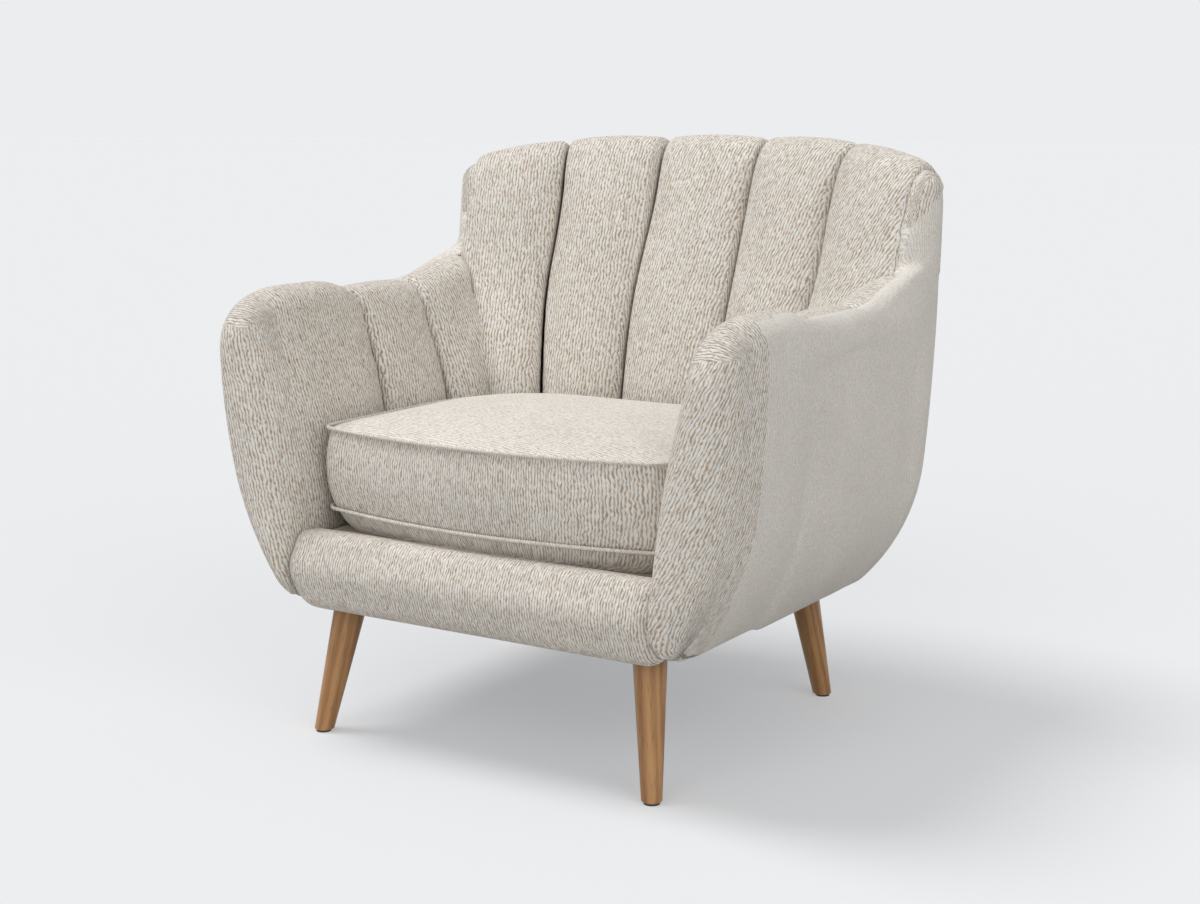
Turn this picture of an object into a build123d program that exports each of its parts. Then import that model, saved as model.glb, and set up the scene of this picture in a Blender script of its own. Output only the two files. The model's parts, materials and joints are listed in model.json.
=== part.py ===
"""Channel back tub armchair: upholstered shell on a timber frame, loose piped seat cushion, four turned legs."""
import os
from math import atan, cos, radians, sin, sqrt, tan

from build123d import *

os.makedirs("parts", exist_ok=True)

# Overall sizes, mm
OVERALL_DEPTH = 800
BACK_HEIGHT = 862
ARM_HEIGHT = 650
SEAT_HEIGHT = 450
SEAT_WIDTH = 600
ARM_SPREAD = 128
LEG_HEIGHT = 186

# Back, mm and degrees
BACK_BASE_THICKNESS = 213
BACK_PLAN_RADIUS = 780
BACK_ROLL_RADIUS = 41
BACK_LEAN = 17
BACK_CROWN = 28
CREST_CROWN = 13
CENTRE_CHANNEL_BASE = 164
CENTRE_CHANNEL_TOP = 182
SIDE_CHANNEL_BASE = 130
SIDE_CHANNEL_TOP = 171
WING_DROP = 28

# Arms, mm and degrees
ARM_ROLL_RADIUS = 39
ARM_LEAN = 11
ARM_CROWN = 17
ARM_CREST_CROWN = 10
ARM_NOSE = 130
ARM_CHANNEL_LENGTH = 136
PANEL_THICKNESS = 10

# Padding, mm and degrees
SEAM_GAP = 0.5
SEAM_SLOPE = 62
BROAD_SHARE = 0.35
SIDE_TAPER = 0.14
CHANNEL_STATIONS = 15

# Seat cushion, mm and degrees
CUSHION_WIDTH = 572
CUSHION_BOXING = 116
CUSHION_CROWN = 22
CUSHION_BOW = 16
CUSHION_WRAP = 14
PIPING_RADIUS = 3.2
FIT_GAP = 0.3

# Timber frame, mm
RAIL_THICKNESS = 26
RAIL_HEIGHT = 85
BOARD_THICKNESS = 25
POST_WIDTH = 26
BLOCK_SIZE = 60

# Legs, mm
LEG_TOP_DIAMETER = 48
LEG_FOOT_DIAMETER = 28
GLIDE_HEIGHT = 3
BOLT_DIAMETER = 8

# Levels and lines that several pieces share
RAIL_BOTTOM = LEG_HEIGHT + 9
RAIL_TOP = RAIL_BOTTOM + RAIL_HEIGHT
DECK_TOP = RAIL_TOP + 18
SHELL_BASE = DECK_TOP + 2
SHELL_BOTTOM = LEG_HEIGHT + 2
SEAT_HALF = SEAT_WIDTH / 2
ARM_OUTSIDE = SEAT_HALF + ARM_SPREAD
ARM_CENTRE = SEAT_HALF + 88
FRONT = -OVERALL_DEPTH / 2
REAR = OVERALL_DEPTH / 2
BACK_BASE = REAR - BACK_BASE_THICKNESS
ARM_ROLL_LEVEL = ARM_HEIGHT - ARM_CREST_CROWN - ARM_ROLL_RADIUS
BACK_ROLL_LEVEL = BACK_HEIGHT - CREST_CROWN - BACK_ROLL_RADIUS
knee_level = SHELL_BOTTOM + 182
UP = Vector(0, 0, 1)


def plan_arc(x):
    """Depth of the back's roll centre at a distance from the middle of the chair."""
    drop = BACK_PLAN_RADIUS - sqrt(BACK_PLAN_RADIUS**2 - x**2)
    return REAR - BACK_ROLL_RADIUS - 5 - drop


def seam(wall, centre, radius, outward, lean):
    """Path of one seam: a curve up the inside, then an arc over the roll."""
    outward = Vector(*outward, 0).normalized()
    turns = [radians(lean), radians((lean + 180) / 2), radians(180)]
    roll = [Vector(*centre) + radius * (sin(t) * UP - cos(t) * outward) for t in turns]
    heading = sin(turns[0]) * outward + cos(turns[0]) * UP
    with BuildLine() as path:
        Spline(*wall, roll[0], tangents=[UP, heading])
        ThreePointArc(*roll)
    return path.wire()


def mirrored(path):
    """The same seam on the other side of the chair."""
    return path.mirror(Plane.YZ)


def along(stops, share):
    """Value at a share of a path's length, from a list of (share, value) stops."""
    for (start, first), (end, last) in zip(stops, stops[1:]):
        if share <= end:
            return first + (last - first) * (share - start) / (end - start)
    return stops[-1][1]


def padded_section(plane, width, depth, crown):
    """Profile of a filled channel: flat behind, crowned in front, steep where it dives into the seams."""
    half = width / 2
    back = half - SIDE_TAPER * depth
    share = BROAD_SHARE * crown / half
    slope = radians(SEAM_SLOPE)
    broad = 2 * atan(share)
    rise = cos(broad) - cos(slope)
    run = sin(slope) - sin(broad)
    radius = (crown - half * share) / (rise - run * share)
    middle = (slope + broad) / 2
    edge = (half - radius * run, -radius * rise)
    bend = (
        half - radius * (sin(slope) - sin(middle)),
        -radius * (cos(middle) - cos(slope)),
    )
    with BuildSketch(plane) as profile:
        with BuildLine():
            ThreePointArc((-edge[0], edge[1]), (0, -crown), edge)
            ThreePointArc(edge, bend, (half, 0))
            Polyline((half, 0), (back, depth), (-back, depth), (-half, 0))
            ThreePointArc((-half, 0), (-bend[0], bend[1]), (-edge[0], edge[1]))
        make_face()
    return profile.sketch


def channel(left, right, depths, crowns, grow=0):
    """Filled channel between two seams."""
    sections = []
    for station in range(CHANNEL_STATIONS + 1):
        share = station / CHANNEL_STATIONS
        a = left.position_at(share * left.length, PositionMode.LENGTH)
        b = right.position_at(share * right.length, PositionMode.LENGTH)
        heading = left.tangent_at(share * left.length, PositionMode.LENGTH)
        heading += right.tangent_at(share * right.length, PositionMode.LENGTH)
        across = (b - a).normalized()
        square = heading - across * heading.dot(across)
        plane = Plane(origin=(a + b) * 0.5, x_dir=across, z_dir=square)
        width = (b - a).length - 2 * SEAM_GAP + 2 * grow
        depth = along(depths, share) + grow
        crown = along(crowns, share) + grow
        sections.append(padded_section(plane, width, depth, crown))
    with BuildPart() as tube:
        loft(sections)
    return tube.part


# Seams of the back, right half
inner_top = CENTRE_CHANNEL_TOP / 2
inner_base = CENTRE_CHANNEL_BASE / 2
outer_top = inner_top + SIDE_CHANNEL_TOP
outer_base = inner_base + SIDE_CHANNEL_BASE
lean_run = tan(radians(BACK_LEAN))
upper_level = ARM_HEIGHT - 40
inner_seam = seam(
    [
        (inner_base - 2, BACK_BASE - 22, SHELL_BASE),
        (inner_base, BACK_BASE - 7, SEAT_HEIGHT - 7),
        (inner_base + 5, plan_arc(inner_top) - 122, upper_level),
    ],
    (inner_top, plan_arc(inner_top), BACK_ROLL_LEVEL),
    BACK_ROLL_RADIUS,
    (inner_top / BACK_PLAN_RADIUS, 1),
    BACK_LEAN,
)
outer_seam = seam(
    [
        (outer_base - 4, BACK_BASE - 58, SHELL_BASE),
        (outer_base, BACK_BASE - 45, SEAT_HEIGHT - 7),
        (outer_base + 28, plan_arc(outer_top) - 108, upper_level),
    ],
    (outer_top, plan_arc(outer_top), BACK_ROLL_LEVEL - 5),
    BACK_ROLL_RADIUS,
    (outer_top / BACK_PLAN_RADIUS, 1),
    BACK_LEAN,
)
wing_x = ARM_OUTSIDE - 24
wing_seam = seam(
    [
        (SEAT_HALF - 30, BACK_BASE - 94, SHELL_BASE),
        (SEAT_HALF - 23, BACK_BASE - 99, SEAT_HEIGHT - 7),
        (SEAT_HALF + 82, BACK_BASE - 34, upper_level + 20),
    ],
    (wing_x, plan_arc(wing_x) + 4, BACK_ROLL_LEVEL - WING_DROP),
    BACK_ROLL_RADIUS - 3,
    (0.2, 1),
    BACK_LEAN,
)

# Seams of the arm, right side
seam_a = BACK_BASE - 99 - 70 - ARM_CHANNEL_LENGTH
seam_b = BACK_BASE - 99 - 72
arm_upper = ARM_ROLL_LEVEL - 70
rear_seam = seam(
    [
        (SEAT_HALF - 28, BACK_BASE - 95, SHELL_BASE),
        (SEAT_HALF - 22, BACK_BASE - 100, SEAT_HEIGHT - 7),
        (SEAT_HALF + 16, BACK_BASE - 72, arm_upper),
    ],
    (ARM_CENTRE + 2, BACK_BASE + 8, ARM_ROLL_LEVEL + 28),
    ARM_ROLL_RADIUS,
    (1, 0),
    ARM_LEAN,
)
middle_seam = seam(
    [
        (SEAT_HALF, seam_b + 2, SHELL_BASE),
        (SEAT_HALF + 8, seam_b, SEAT_HEIGHT - 7),
        (SEAT_HALF + 30, seam_b - 2, arm_upper),
    ],
    (ARM_CENTRE, seam_b - 4, ARM_ROLL_LEVEL - 10),
    ARM_ROLL_RADIUS,
    (1, 0),
    ARM_LEAN,
)
seam_slant = 0.35


def front_line(x):
    """Depth of the seam behind the arm roll at a distance from the middle of the chair."""
    return seam_a - seam_slant * (x - SEAT_HALF)


front_seam = seam(
    [
        (SEAT_HALF + 6, front_line(SEAT_HALF + 6), SHELL_BASE),
        (SEAT_HALF + 21, front_line(SEAT_HALF + 21), SEAT_HEIGHT - 7),
        (SEAT_HALF + 36, front_line(SEAT_HALF + 36), arm_upper),
    ],
    (ARM_CENTRE, front_line(ARM_CENTRE), ARM_ROLL_LEVEL - 10),
    ARM_ROLL_RADIUS,
    (1, -seam_slant),
    ARM_LEAN,
)

# Back channels, numbered from the left
back_depths = [(0, 54), (0.25, 54), (0.5, 40), (0.8, 24), (0.9, 16), (1, 14)]
back_crowns = [(0, 20), (0.2, BACK_CROWN), (0.72, BACK_CROWN), (0.88, CREST_CROWN), (1, 6)]
wing_depths = [(0, 40), (0.25, 42), (0.5, 36), (0.8, 24), (0.9, 16), (1, 14)]
wing_crowns = [(0, 16), (0.2, BACK_CROWN - 4), (0.72, BACK_CROWN), (0.88, CREST_CROWN), (1, 6)]
with BuildPart() as back_channel_3:
    add(channel(mirrored(inner_seam), inner_seam, back_depths, back_crowns))
with BuildPart() as back_channel_4:
    add(channel(inner_seam, outer_seam, back_depths, back_crowns))
with BuildPart() as back_channel_5:
    add(channel(outer_seam, wing_seam, wing_depths, wing_crowns))
with BuildPart() as back_channel_2:
    mirror(back_channel_4.part, about=Plane.YZ)
with BuildPart() as back_channel_1:
    mirror(back_channel_5.part, about=Plane.YZ)

# Arm channels: the rear one shaped round the side of the back, the front one trimmed along the arm roll
arm_depths = [(0, 22), (0.3, 26), (0.65, 28), (0.8, 18), (1, 15)]
arm_crowns = [(0, 12), (0.25, ARM_CROWN), (0.6, ARM_CROWN), (0.82, ARM_CREST_CROWN), (1, 5)]
roll_plane = Plane(
    origin=(ARM_CENTRE, front_line(ARM_CENTRE), 0), x_dir=(1, -seam_slant, 0), z_dir=(seam_slant, 1, 0)
)
with BuildPart() as right_arm_channel_rear:
    add(channel(rear_seam, middle_seam, arm_depths, arm_crowns))
    add(channel(outer_seam, wing_seam, wing_depths, wing_crowns, grow=1.4), mode=Mode.SUBTRACT)
with BuildPart() as right_arm_channel_front:
    add(channel(middle_seam, front_seam, arm_depths, arm_crowns))
    split(bisect_by=roll_plane.offset(FIT_GAP), keep=Keep.TOP)


def spine(level):
    """Middle of the arm's thickness at a level."""
    rise = (level - SHELL_BOTTOM) / (ARM_ROLL_LEVEL - SHELL_BOTTOM)
    return SEAT_HALF + 7 + (ARM_CENTRE - SEAT_HALF - 7) * (1 - (1 - min(rise, 1)) ** 1.7)


def arm_section(plane, slope, narrow, shrink, tuck=0):
    """Profile of the arm across its length, drawn in by the nose and by the seam behind the roll."""
    waist = (SHELL_BOTTOM + ARM_HEIGHT) / 2
    top = ARM_HEIGHT - ARM_ROLL_LEVEL - tuck
    outside = ARM_OUTSIDE - tuck / 4
    inside = ARM_CENTRE - 43 + tuck / 4
    corner = sqrt(0.5)

    def put(x, z):
        share = narrow**0.85 if x > spine(z) else narrow**0.6
        spread = spine(z) + share * (x - spine(z)) - ARM_CENTRE
        return spread * sqrt(1 + slope**2), waist + shrink * (z - waist)

    foot = put(SEAT_HALF + 14, SHELL_BOTTOM)
    belly = put(SEAT_HALF + 66, SHELL_BOTTOM + 68)
    knee = put(outside - 15, knee_level)
    flank = put(outside - 3, SHELL_BOTTOM + 296)
    shoulder = put(outside, ARM_ROLL_LEVEL)
    outer_bend = put(ARM_CENTRE + (outside - ARM_CENTRE) * corner, ARM_ROLL_LEVEL + top * corner)
    crest = put(ARM_CENTRE, ARM_ROLL_LEVEL + top)
    inner_bend = put(ARM_CENTRE - (ARM_CENTRE - inside) * corner, ARM_ROLL_LEVEL + top * corner)
    brow = put(inside, ARM_ROLL_LEVEL)
    inner_face = put(SEAT_HALF - 1 + tuck, (SHELL_BOTTOM + ARM_ROLL_LEVEL) / 2 + 20)
    heel = put(SEAT_HALF + 2, SHELL_BOTTOM + 8)
    with BuildSketch(plane) as profile:
        with BuildLine():
            ThreePointArc(foot, belly, knee)
            ThreePointArc(knee, flank, shoulder)
            ThreePointArc(shoulder, outer_bend, crest)
            ThreePointArc(crest, inner_bend, brow)
            ThreePointArc(brow, inner_face, heel)
            Line(heel, foot)
        make_face()
    return profile.sketch


def board_outline(plane, inset, lift, spare=0):
    """Outline of a shaped arm board, fixed to the side rail and narrower than the padding round it."""
    outside = ARM_OUTSIDE - inset + spare
    inside = ARM_CENTRE - 25 - spare
    middle = (outside + inside) / 2
    low = RAIL_BOTTOM + lift - spare
    step = rail_outside - spare
    crown = (outside - inside) / 2 - 1
    with BuildSketch(plane) as outline:
        with BuildLine():
            Polyline(
                (inside, ARM_ROLL_LEVEL - 10),
                (SEAT_HALF + 34 - spare, DECK_TOP + 8),
                (step, RAIL_TOP + 4),
                (step, low),
                (rail_outside + 10 + spare, low),
            )
            ThreePointArc(
                (rail_outside + 10 + spare, low),
                (SEAT_HALF + 64 - inset / 4 + spare, low + 68),
                (outside - 14, SHELL_BOTTOM + 190),
            )
            Line((outside - 14, SHELL_BOTTOM + 190), (outside, ARM_ROLL_LEVEL - 10))
            ThreePointArc(
                (outside, ARM_ROLL_LEVEL - 10),
                (middle, ARM_ROLL_LEVEL - 10 + crown),
                (inside, ARM_ROLL_LEVEL - 10),
            )
        make_face()
    return outline.sketch


def across_arm(y):
    """Upright plane square to the chair's depth, seen from the front."""
    return Plane(origin=(0, y, 0), x_dir=(1, 0, 0), z_dir=(0, -1, 0))


# Timber frame of the seat
rail_outside = SEAT_HALF - 8
rail_inside = rail_outside - RAIL_THICKNESS
rail_front = FRONT + 70
rail_rear = BACK_BASE + 35
rail_middle = (rail_front + rail_rear) / 2
rail_level = (RAIL_BOTTOM + RAIL_TOP) / 2
front_line_y = rail_front + RAIL_THICKNESS / 2
rear_line_y = rail_rear - RAIL_THICKNESS / 2
screw_levels = [rail_level - 22, rail_level + 22]
screw_spots = [
    (side * rail_outside, y, z) for side in (-1, 1) for y in (front_line_y, rear_line_y) for z in screw_levels
]


def screw_shape(radius, head, length, depth):
    """Countersunk screws, or the holes for them, driven through the side rails into the end rails."""
    with BuildPart() as screws:
        for x, y, z in screw_spots:
            inwards = (-1, 0, 0) if x > 0 else (1, 0, 0)
            with BuildSketch(Plane(origin=(x, y, z), x_dir=(0, 1, 0), z_dir=inwards)):
                Circle(head)
            extrude(amount=depth)
            with BuildSketch(Plane(origin=(x, y, z), x_dir=(0, 1, 0), z_dir=inwards)):
                Circle(radius)
            extrude(amount=length)
    return screws.part


screw_holes = screw_shape(2.6, 5, 62, 5)
with BuildPart() as right_side_rail:
    with Locations(((rail_outside + rail_inside) / 2, rail_middle, rail_level)):
        Box(RAIL_THICKNESS, rail_rear - rail_front, RAIL_HEIGHT)
    add(screw_holes, mode=Mode.SUBTRACT)
with BuildPart() as front_rail:
    with Locations((0, front_line_y, rail_level)):
        Box(2 * rail_inside, RAIL_THICKNESS, RAIL_HEIGHT)
    add(screw_holes, mode=Mode.SUBTRACT)
with BuildPart() as rear_rail:
    with Locations((0, rear_line_y, rail_level)):
        Box(2 * rail_inside, RAIL_THICKNESS, RAIL_HEIGHT)
    add(screw_holes, mode=Mode.SUBTRACT)
with BuildPart() as frame_screws:
    add(screw_shape(2.3, 4.7, 61, 4.5))

# Arm frames
board_front = FRONT + 60
board_rear = BACK_BASE + 13
ARM_RAIL = 24
arm_rail_length = board_rear - board_front - BOARD_THICKNESS
with BuildPart() as right_front_board:
    extrude(board_outline(across_arm(board_front), 21, 9), amount=-BOARD_THICKNESS)
with BuildPart() as right_rear_board:
    extrude(board_outline(across_arm(board_rear), 38, 34), amount=-BOARD_THICKNESS)
with BuildPart() as right_arm_rail:
    with Locations((ARM_CENTRE + 2, board_front + BOARD_THICKNESS + arm_rail_length / 2, ARM_ROLL_LEVEL - 16)):
        Box(ARM_RAIL - 6, arm_rail_length, ARM_RAIL)

# Arm roll, from the rounded nose back to the seam, hollow round the arm frame
nose_tip = FRONT
nose_start = nose_tip + ARM_NOSE * sin(radians(80))
roll_end = front_line(ARM_CENTRE) - FIT_GAP
ROLL_STATIONS = 10
roll_sections = []
for station in range(ROLL_STATIONS + 1):
    share = station / ROLL_STATIONS
    y = nose_tip + (roll_end - nose_tip) * share
    slope = seam_slant * share**2
    nose = sqrt(1 - min(max((nose_start - y) / ARM_NOSE, 0), 1) ** 2)
    tuck = 15 * max(0, (share - 0.78) / 0.22) ** 1.6
    plane = Plane(origin=(ARM_CENTRE, y, 0), x_dir=(1, -slope, 0), z_dir=(-slope, -1, 0))
    roll_sections.append(arm_section(plane, slope, nose, nose**0.25, tuck))
with BuildPart() as arm_form:
    loft(roll_sections)
with BuildPart() as arm_hollow:
    extrude(board_outline(across_arm(board_front - FIT_GAP), 21, 9, FIT_GAP), amount=-ARM_NOSE - 200)
with BuildPart() as right_arm_roll:
    add(arm_form.part)
    add(arm_hollow.part, mode=Mode.SUBTRACT)


def bowed(a, b, swell):
    """Middle of the arc between two points of a section that swells outwards."""
    run = b[0] - a[0]
    rise = b[1] - a[1]
    length = sqrt(run**2 + rise**2)
    return (a[0] + b[0]) / 2 + swell * rise / length, (a[1] + b[1]) / 2 - swell * run / length


def skin_section(plane, base, knee, top, foot=PANEL_THICKNESS):
    """Section of an outside panel: it sweeps out from the base to a knee, then rises to its top edge."""
    thick = PANEL_THICKNESS
    base_in = (base[0] - foot, base[1])
    knee_in = (knee[0] - 0.85 * thick, knee[1] + 0.5 * thick)
    top_in = (top[0] - thick, top[1])
    with BuildSketch(plane) as profile:
        with BuildLine():
            ThreePointArc(base, bowed(base, knee, 18), knee)
            ThreePointArc(knee, bowed(knee, top, 4), top)
            Line(top, top_in)
            ThreePointArc(top_in, bowed(knee_in, top_in, 4), knee_in)
            ThreePointArc(knee_in, bowed(base_in, knee_in, 18), base_in)
            Line(base_in, base)
        make_face()
    return profile.sketch


def upright(x, y, heading):
    """Upright plane through a point, its local X along a heading in plan."""
    return Plane(origin=(x, y, 0), x_dir=(*heading, 0), z_dir=(heading[1], -heading[0], 0))


# Outside arm panel, from the arm roll back to the rear corner, its top edge rising along the wing
corner_x = SEAT_HALF - 40
corner_y = BACK_BASE - 2
PANEL_STEPS = 7
WING_FOOT = ARM_HEIGHT + 34
PANEL_FOOT = 29
arm_top_levels = [(0, ARM_ROLL_LEVEL - 16), (0.5, ARM_ROLL_LEVEL - 15), (1, ARM_ROLL_LEVEL + 15)]
arm_top_inset = [(0, 4), (0.8, 3), (1, 8)]
panel_start = front_line(ARM_CENTRE) + 2 * FIT_GAP
panel_sections = []
for step in range(PANEL_STEPS + 1):
    share = step / PANEL_STEPS
    slope = seam_slant * max(0, 1 - step / 4)
    stretch = sqrt(1 + slope**2)
    plane = upright(ARM_CENTRE, panel_start + (corner_y - panel_start) * share, (1, -slope))
    base = ((SEAT_HALF + 22 - ARM_CENTRE) * stretch, SHELL_BOTTOM)
    knee = ((ARM_OUTSIDE - 15 - ARM_CENTRE) * stretch, knee_level)
    top = ((ARM_OUTSIDE - along(arm_top_inset, share) - ARM_CENTRE) * stretch, along(arm_top_levels, share))
    panel_sections.append(skin_section(plane, base, knee, top, PANEL_FOOT))
for angle, reach, level in [(10, 166, WING_FOOT + 4), (20, 173, WING_FOOT + 8), (29.8, 178, WING_FOOT + 8)]:
    turn = radians(angle)
    plane = upright(corner_x, corner_y, (cos(turn), sin(turn)))
    base = (64 + angle / 5, SHELL_BOTTOM + angle / 10)
    knee = (ARM_SPREAD + 29 + angle / 5, knee_level)
    panel_sections.append(skin_section(plane, base, knee, (reach, level)))
with BuildPart() as right_outside_arm:
    loft(panel_sections)
    with BuildSketch(Plane.YZ.offset(ARM_CENTRE - 20)):
        with BuildLine():
            Polyline(
                (0, ARM_ROLL_LEVEL - 14),
                (corner_y, ARM_ROLL_LEVEL + 15.5),
                (corner_y + 12, ARM_ROLL_LEVEL + 18),
                (corner_y + 12, WING_FOOT),
                (corner_y + 130, WING_FOOT),
                (corner_y + 130, WING_FOOT + 60),
                (0, WING_FOOT + 60),
                close=True,
            )
        make_face()
    extrude(amount=80, mode=Mode.SUBTRACT)

# Wing panel, from the outer seam of the back round to the outside back, above the arm
WING_TOP = BACK_ROLL_LEVEL - 10
WING_STEPS = 4


def seam_at(path, level):
    """Point of a seam at a level below its crest."""
    low = 0
    high = 0.86
    for _ in range(30):
        middle = (low + high) / 2
        if path.position_at(middle * path.length, PositionMode.LENGTH).Z < level:
            low = middle
        else:
            high = middle
    return path.position_at(low * path.length, PositionMode.LENGTH)


def round_corner(angle, reach):
    """Point in plan round the rear corner."""
    return corner_x + reach * cos(radians(angle)), corner_y + reach * sin(radians(angle))


wing_sections = []
for step in range(WING_STEPS + 1):
    share = step / WING_STEPS
    level = WING_FOOT + 0.5 + (WING_TOP - WING_FOOT) * share
    front = seam_at(wing_seam, level)
    front = (front.X + 1.3, front.Y + 0.2)
    front_in = (front[0] + 0.6, front[1] + 2.4)
    rear_angle = 29.8 - 5 * share**3
    rear_reach = 178 + 7 * share - 14 * share**3
    swell = 170 + 2 * share
    with BuildSketch(Plane.XY.offset(level)) as strip:
        with BuildLine():
            ThreePointArc(front, round_corner(15, swell), round_corner(rear_angle, rear_reach))
            Line(round_corner(rear_angle, rear_reach), round_corner(rear_angle, rear_reach - PANEL_THICKNESS))
            ThreePointArc(
                round_corner(rear_angle, rear_reach - PANEL_THICKNESS),
                round_corner(15, swell - PANEL_THICKNESS),
                front_in,
            )
            Line(front_in, front)
        make_face()
    wing_sections.append(strip.sketch)
with BuildPart() as right_wing_panel:
    loft(wing_sections)

# Outside back panel, round both rear corners
corner_stations = [(30.2, 184, 163, 34), (50, 172, 156, 28), (70, 162, 140, 16), (90, 168, 139, 8)]


def corner_section(side, angle, reach, knee_reach, drop):
    """Section of the outside back at one angle round a rear corner."""
    turn = radians(angle)
    plane = upright(side * corner_x, corner_y, (side * cos(turn), sin(turn)))
    base = (74 - angle / 8, SHELL_BOTTOM + angle / 10)
    return skin_section(plane, base, (knee_reach, knee_level), (reach, BACK_ROLL_LEVEL - drop))


def rear_section(x):
    """Section of the outside back between its rear corners."""
    rear = plan_arc(abs(x)) + BACK_ROLL_RADIUS + 2.8
    base = (BACK_BASE + 61 - (REAR - rear) * 0.1, SHELL_BOTTOM + 9)
    drop = 3 + max(0, abs(x) - inner_top) / 35
    knee = (rear - 39 + abs(x) / 30, knee_level)
    return skin_section(upright(x, 0, (0, 1)), base, knee, (rear, BACK_ROLL_LEVEL - drop))


back_sections = [corner_section(1, *station) for station in corner_stations]
back_sections += [rear_section(corner_x * third / 3) for third in (2, 1, 0, -1, -2)]
back_sections += [corner_section(-1, *station) for station in reversed(corner_stations)]
with BuildPart() as outside_back:
    loft(back_sections)

# Front border, a padded roll over the front rail, rounded off at its ends and shaped to the arm rolls
border_back = rail_front - FIT_GAP
border_low = LEG_HEIGHT + 1
border_top = RAIL_TOP + 27
border_straight = SEAT_HALF - 24
border_lap = rail_front + 9


def border_section(x, draw):
    """Section of the border, its padded side drawn in by an amount."""
    front = FRONT + draw
    low = border_low + draw
    top = border_top - draw / 2
    chin = (front + 20, border_low + 42)
    brow = (front + 24, border_low + 98 - draw / 2)
    crest = (FRONT + 54, top)
    plane = Plane(origin=(x, 0, 0), x_dir=(0, 1, 0), z_dir=(1, 0, 0))
    with BuildSketch(plane) as profile:
        with BuildLine():
            ThreePointArc((border_back, low), (front + 38, low + 12), chin)
            ThreePointArc(chin, (front + 13, border_low + 72), brow)
            ThreePointArc(brow, (front + 35, top - 4), crest)
            Polyline(
                crest,
                (border_lap, border_top - 3),
                (border_lap, RAIL_TOP + FIT_GAP),
                (border_back, RAIL_TOP + FIT_GAP),
                (border_back, low),
            )
        make_face()
    return profile.sketch


with BuildPart() as front_border:
    extrude(border_section(0, 0), amount=border_straight, both=True)
    for side in (1, -1):
        loft([border_section(side * (border_straight + 9 * n), 1.3 * n**2) for n in range(4)])
    for cutter in (
        arm_form.part.moved(Location((-0.5, 0, 0))),
        arm_form.part.moved(Location((-0.2, 0, -0.5))),
        arm_hollow.part,
    ):
        add(cutter, mode=Mode.SUBTRACT)
        add(cutter.mirror(Plane.YZ), mode=Mode.SUBTRACT)

# Seat cushion: foam core inside a cover with crowned faces, boxing and a piped edge top and bottom
cushion_half = CUSHION_WIDTH / 2
cushion_front = FRONT + 43
cushion_rear = BACK_BASE - 63
cushion_low = SEAT_HEIGHT - CUSHION_BOXING
CUSHION_FRONT_CORNER = 34
CUSHION_REAR_CORNER = 190
CORNER_EASE = 0.9
CROWN_SHARE = 0.291
crown_reach = CROWN_SHARE * (cushion_rear - cushion_front)


def seat_outline(plane, half, front, rear):
    """Plan of the cushion: bowed front, straight sides, widely rounded rear corners."""
    bow = radians(CUSHION_BOW)
    nose = CUSHION_FRONT_CORNER
    tail = CUSHION_REAR_CORNER - CORNER_EASE * (cushion_half - half)
    turn = half - nose * (1 - sin(bow))
    bow_start = (turn, front + turn * tan(bow / 2))
    centre = (half - nose, bow_start[1] + nose * cos(bow))
    split_angle = radians(45) + bow / 2
    nose_bend = (centre[0] + nose * sin(split_angle), centre[1] - nose * cos(split_angle))
    tail_bend = (half - tail + tail * sqrt(0.5), rear - tail + tail * sqrt(0.5))
    with BuildLine(plane) as outline:
        Line((-(half - tail), rear), (half - tail, rear))
        ThreePointArc((half - tail, rear), tail_bend, (half, rear - tail))
        Line((half, rear - tail), (half, centre[1]))
        ThreePointArc((half, centre[1]), nose_bend, bow_start)
        ThreePointArc(bow_start, (0, front), (-bow_start[0], bow_start[1]))
        ThreePointArc((-bow_start[0], bow_start[1]), (-nose_bend[0], nose_bend[1]), (-half, centre[1]))
        Line((-half, centre[1]), (-half, rear - tail))
        ThreePointArc((-half, rear - tail), (-tail_bend[0], tail_bend[1]), (-(half - tail), rear))
    return outline.wire()


def cushion_plan(level, inset, back):
    """Plan of the cushion at a level, drawn in all round and set back at the front."""
    return seat_outline(
        Plane.XY.offset(level), cushion_half - inset, cushion_front + inset + back, cushion_rear - inset
    )


cushion_bottom = DECK_TOP + 0.5
cushion_underside = [
    (cushion_bottom, 100, 2),
    (cushion_bottom + 2, 62, 4),
    (cushion_bottom + 10, 26, 6),
    (cushion_low, 3, 5),
]
cushion_sides = [
    (cushion_low, 3, 5),
    (cushion_low + CUSHION_BOXING / 3, -3, 1),
    (cushion_low + CUSHION_BOXING * 2 / 3, -3, 0),
    (SEAT_HEIGHT, 3, 0),
]
cushion_top = [
    (SEAT_HEIGHT, 3, 0),
    (SEAT_HEIGHT + CUSHION_CROWN * 0.58, crown_reach * 0.34, 0),
    (SEAT_HEIGHT + CUSHION_CROWN * 0.88, crown_reach * 0.67, 0),
    (SEAT_HEIGHT + CUSHION_CROWN, crown_reach, 0),
]


def piping(level, inset, back, radius):
    """Cord sewn into a drawn-in edge of the cushion."""
    path = cushion_plan(level, inset, back)
    with BuildPart() as cord:
        with BuildSketch(Plane(origin=path @ 0, z_dir=path % 0)):
            Circle(radius)
        sweep(path=path)
    return cord.part


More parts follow.
